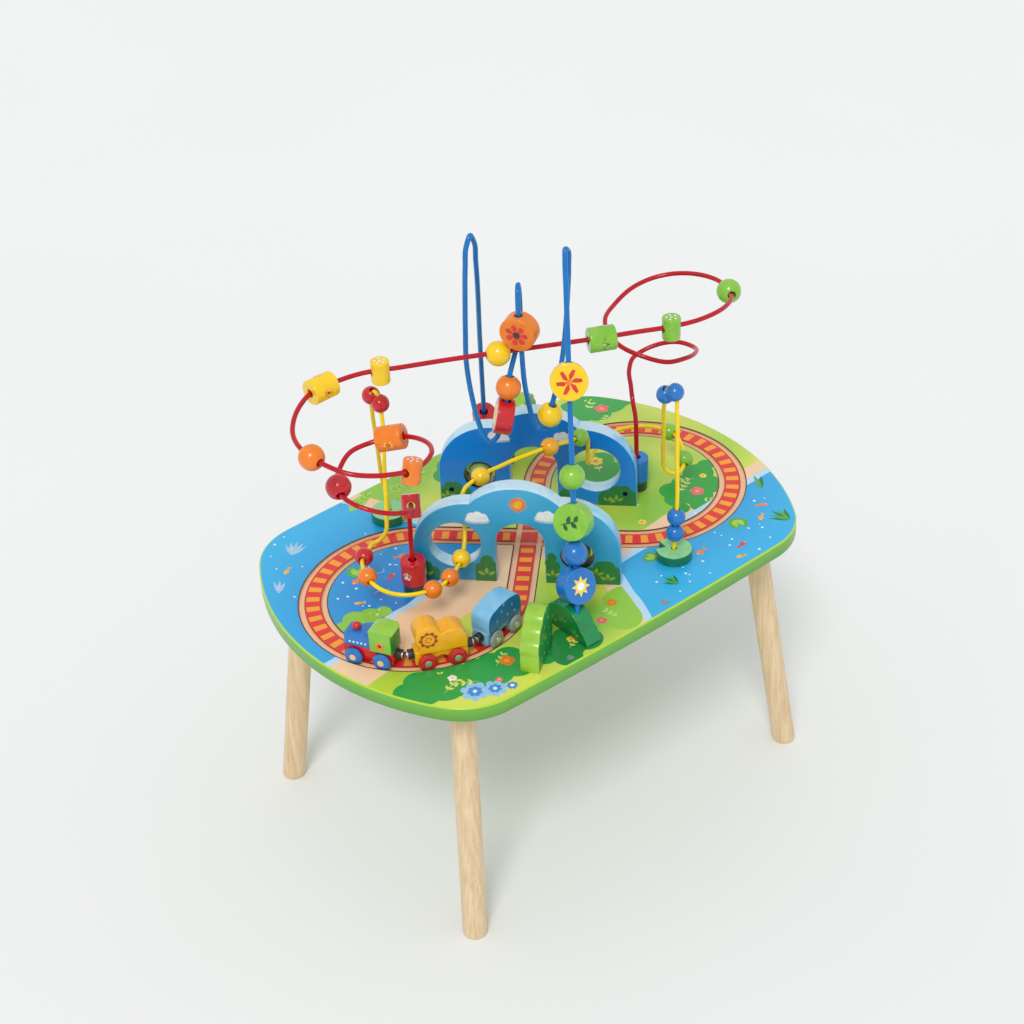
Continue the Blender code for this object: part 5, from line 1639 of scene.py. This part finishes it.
for x, y, size, turn in ((-118, 176, 46, 20), (-104, 150, 52, 5), (-96, 126, 40, 350),
                         (-70, 180, 40, 350), (-40, 160, 44, 35), (-128, 194, 36, 355),
                         (120, 176, 40, 200), (150, 186, 36, 175)):
    frond(x, y, size, turn)
for x, y, length, turn in ((-254, -132, 26, 160), (-236, -148, 28, 20), (-196, -156, 26, 150),
                           (-170, -150, 24, 30), (-136, -168, 22, 10), (-222, -126, 20, 60),
                           (214, 150, 30, 30), (248, 160, 22, 150), (232, 128, 20, 200),
                           (176, -50, 26, 20), (212, -42, 24, 150), (186, -76, 20, 320),
                           (140, 40, 30, 60), (122, 34, 22, 150), (-22, -176, 22, 100),
                           (-62, -182, 20, 70), (24, 168, 18, 40), (-96, -178, 20, 20)):
    twig(x, y, length, turn)
for x, y, radius, colour, centre, count in (
    (-155, -150, 8.5, "orange", "sun", 4), (-214, -134, 5, "white", "yellow", 5),
    (-180, -168, 4, "pink", "yellow", 5), (232, 142, 9, "pink", "sun", 5),
    (262, 138, 4.5, "white", "yellow", 5), (196, -62, 8.5, "pink", "sun", 5),
    (222, -44, 4.5, "yellow", "orange", 5), (152, 62, 9, "yellow", "orange", 6),
    (126, 20, 5, "white", "yellow", 5), (-12, -150, 6, "orange", "sun", 5),
    (-64, -150, 5, "pink", "yellow", 5), (-84, -168, 5, "yellow", "orange", 5),
    (40, 172, 5, "yellow", "orange", 5), (-20, 120, 5, "pink", "yellow", 5),
    (98, 172, 6, "orange", "sun", 5), (-40, -166, 6, "pink", "sun", 5),
    (110, -64, 5, "yellow", "orange", 5),
):
    lay(colour, 2, moved(blossom(radius, count), x, y, 20))
    lay(centre, 3, moved(round_spot(radius * 0.3, 12), x, y))
for k, (x, y) in enumerate(((-210, -166), (-192, -176), (-176, -184))):
    lay("sky", 1, moved(blossom(15 - 2 * k, 7), x, y, 10 * k))
    lay("sea", 2, moved(blossom(8 - k, 7), x, y, 25))
    lay("white", 3, moved(round_spot(2.2, 12), x, y))
for x, y, r in ((-228, -178, 3), (-120, -188, 4), (-104, -190, 2.6), (-62, -190, 3.4),
                (30, -188, 3)):
    lay("grey", 1, moved(blossom(r * 1.6, 3), x, y, 15))
chance = random.Random(11)
WATERS = [(-290, -20, -100, 190), (-235, 6, -70, 92), (45, -190, 250, -118)]
for x0, y0, x1, y1 in WATERS:
    for k in range(34):
        x, y = chance.uniform(x0, x1), chance.uniform(y0, y1)
        wet_left = y > 0.17 * x + 34 and x + 0.42 * y < -46
        wet_right = y < 0.06 * x - 118 and x > 72 + 0.35 * y + 12
        if wet_left or wet_right:
            scatter("white", round_spot(chance.uniform(0.7, 1.7), 10), x, y)
    for k in range(9):
        x, y = chance.uniform(x0, x1), chance.uniform(y0, y1)
        wet_left = y > 0.17 * x + 36 and x + 0.42 * y < -52
        wet_right = y < 0.06 * x - 120 and x > 72 + 0.35 * y + 16
        if wet_left or wet_right:
            scatter("sky", ripple(chance.uniform(13, 22), 1.7), x, y, chance.uniform(-35, 35))
for k in range(26):
    scatter("white", round_spot(chance.uniform(0.8, 1.5), 10), chance.uniform(-270, 270),
            chance.uniform(-190, 190))

print_layers("board_{ink}_{layer}", Matrix.Identity(4), TOP - PRINT, [
    (colour, layer, [[(x * MM, y * MM) for x, y in outline] for outline in outlines])
    for (colour, layer), outlines in STENCILS.items()], "table")


# Surroundings

floor_look, floor_tree, floor_shader = blank("pale_floor", 0.75)
floor_drift = noise(floor_tree, object_place(floor_tree), 1 / 1.2)
floor_tree.links.new(blend(floor_tree, floor_drift, "F1F2F2", "EBEDEE"),
                     floor_shader.inputs["Base Color"])
bpy.ops.mesh.primitive_plane_add(size=8.0, location=(0.0, 0.0, 0.0))
floor = bpy.context.active_object
floor.name = "floor"
floor.data.transform(raised(-0.2 * MM))
floor.data.materials.append(floor_look)

world = bpy.data.worlds.new("soft_daylight")
world.use_nodes = True
bpy.context.scene.world = world
sky_tree = world.node_tree
sky = sky_tree.nodes["Background"]
sky.inputs["Color"].default_value = (1.0, 1.0, 1.0, 1.0)
seen = add(sky_tree, "ShaderNodeLightPath").outputs["Is Camera Ray"]
sky_tree.links.new(remap(sky_tree, seen, 0.0, 1.0, 0.72, 0.93), sky.inputs["Strength"])
sun_data = bpy.data.lights.new("window_light", "SUN")
sun_data.energy = 1.25
sun_data.angle = math.radians(18.0)
sun = bpy.data.objects.new("window_light", sun_data)
sun.rotation_euler = (math.radians(34.0), math.radians(-14.0), math.radians(-30.0))
bpy.context.scene.collection.objects.link(sun)
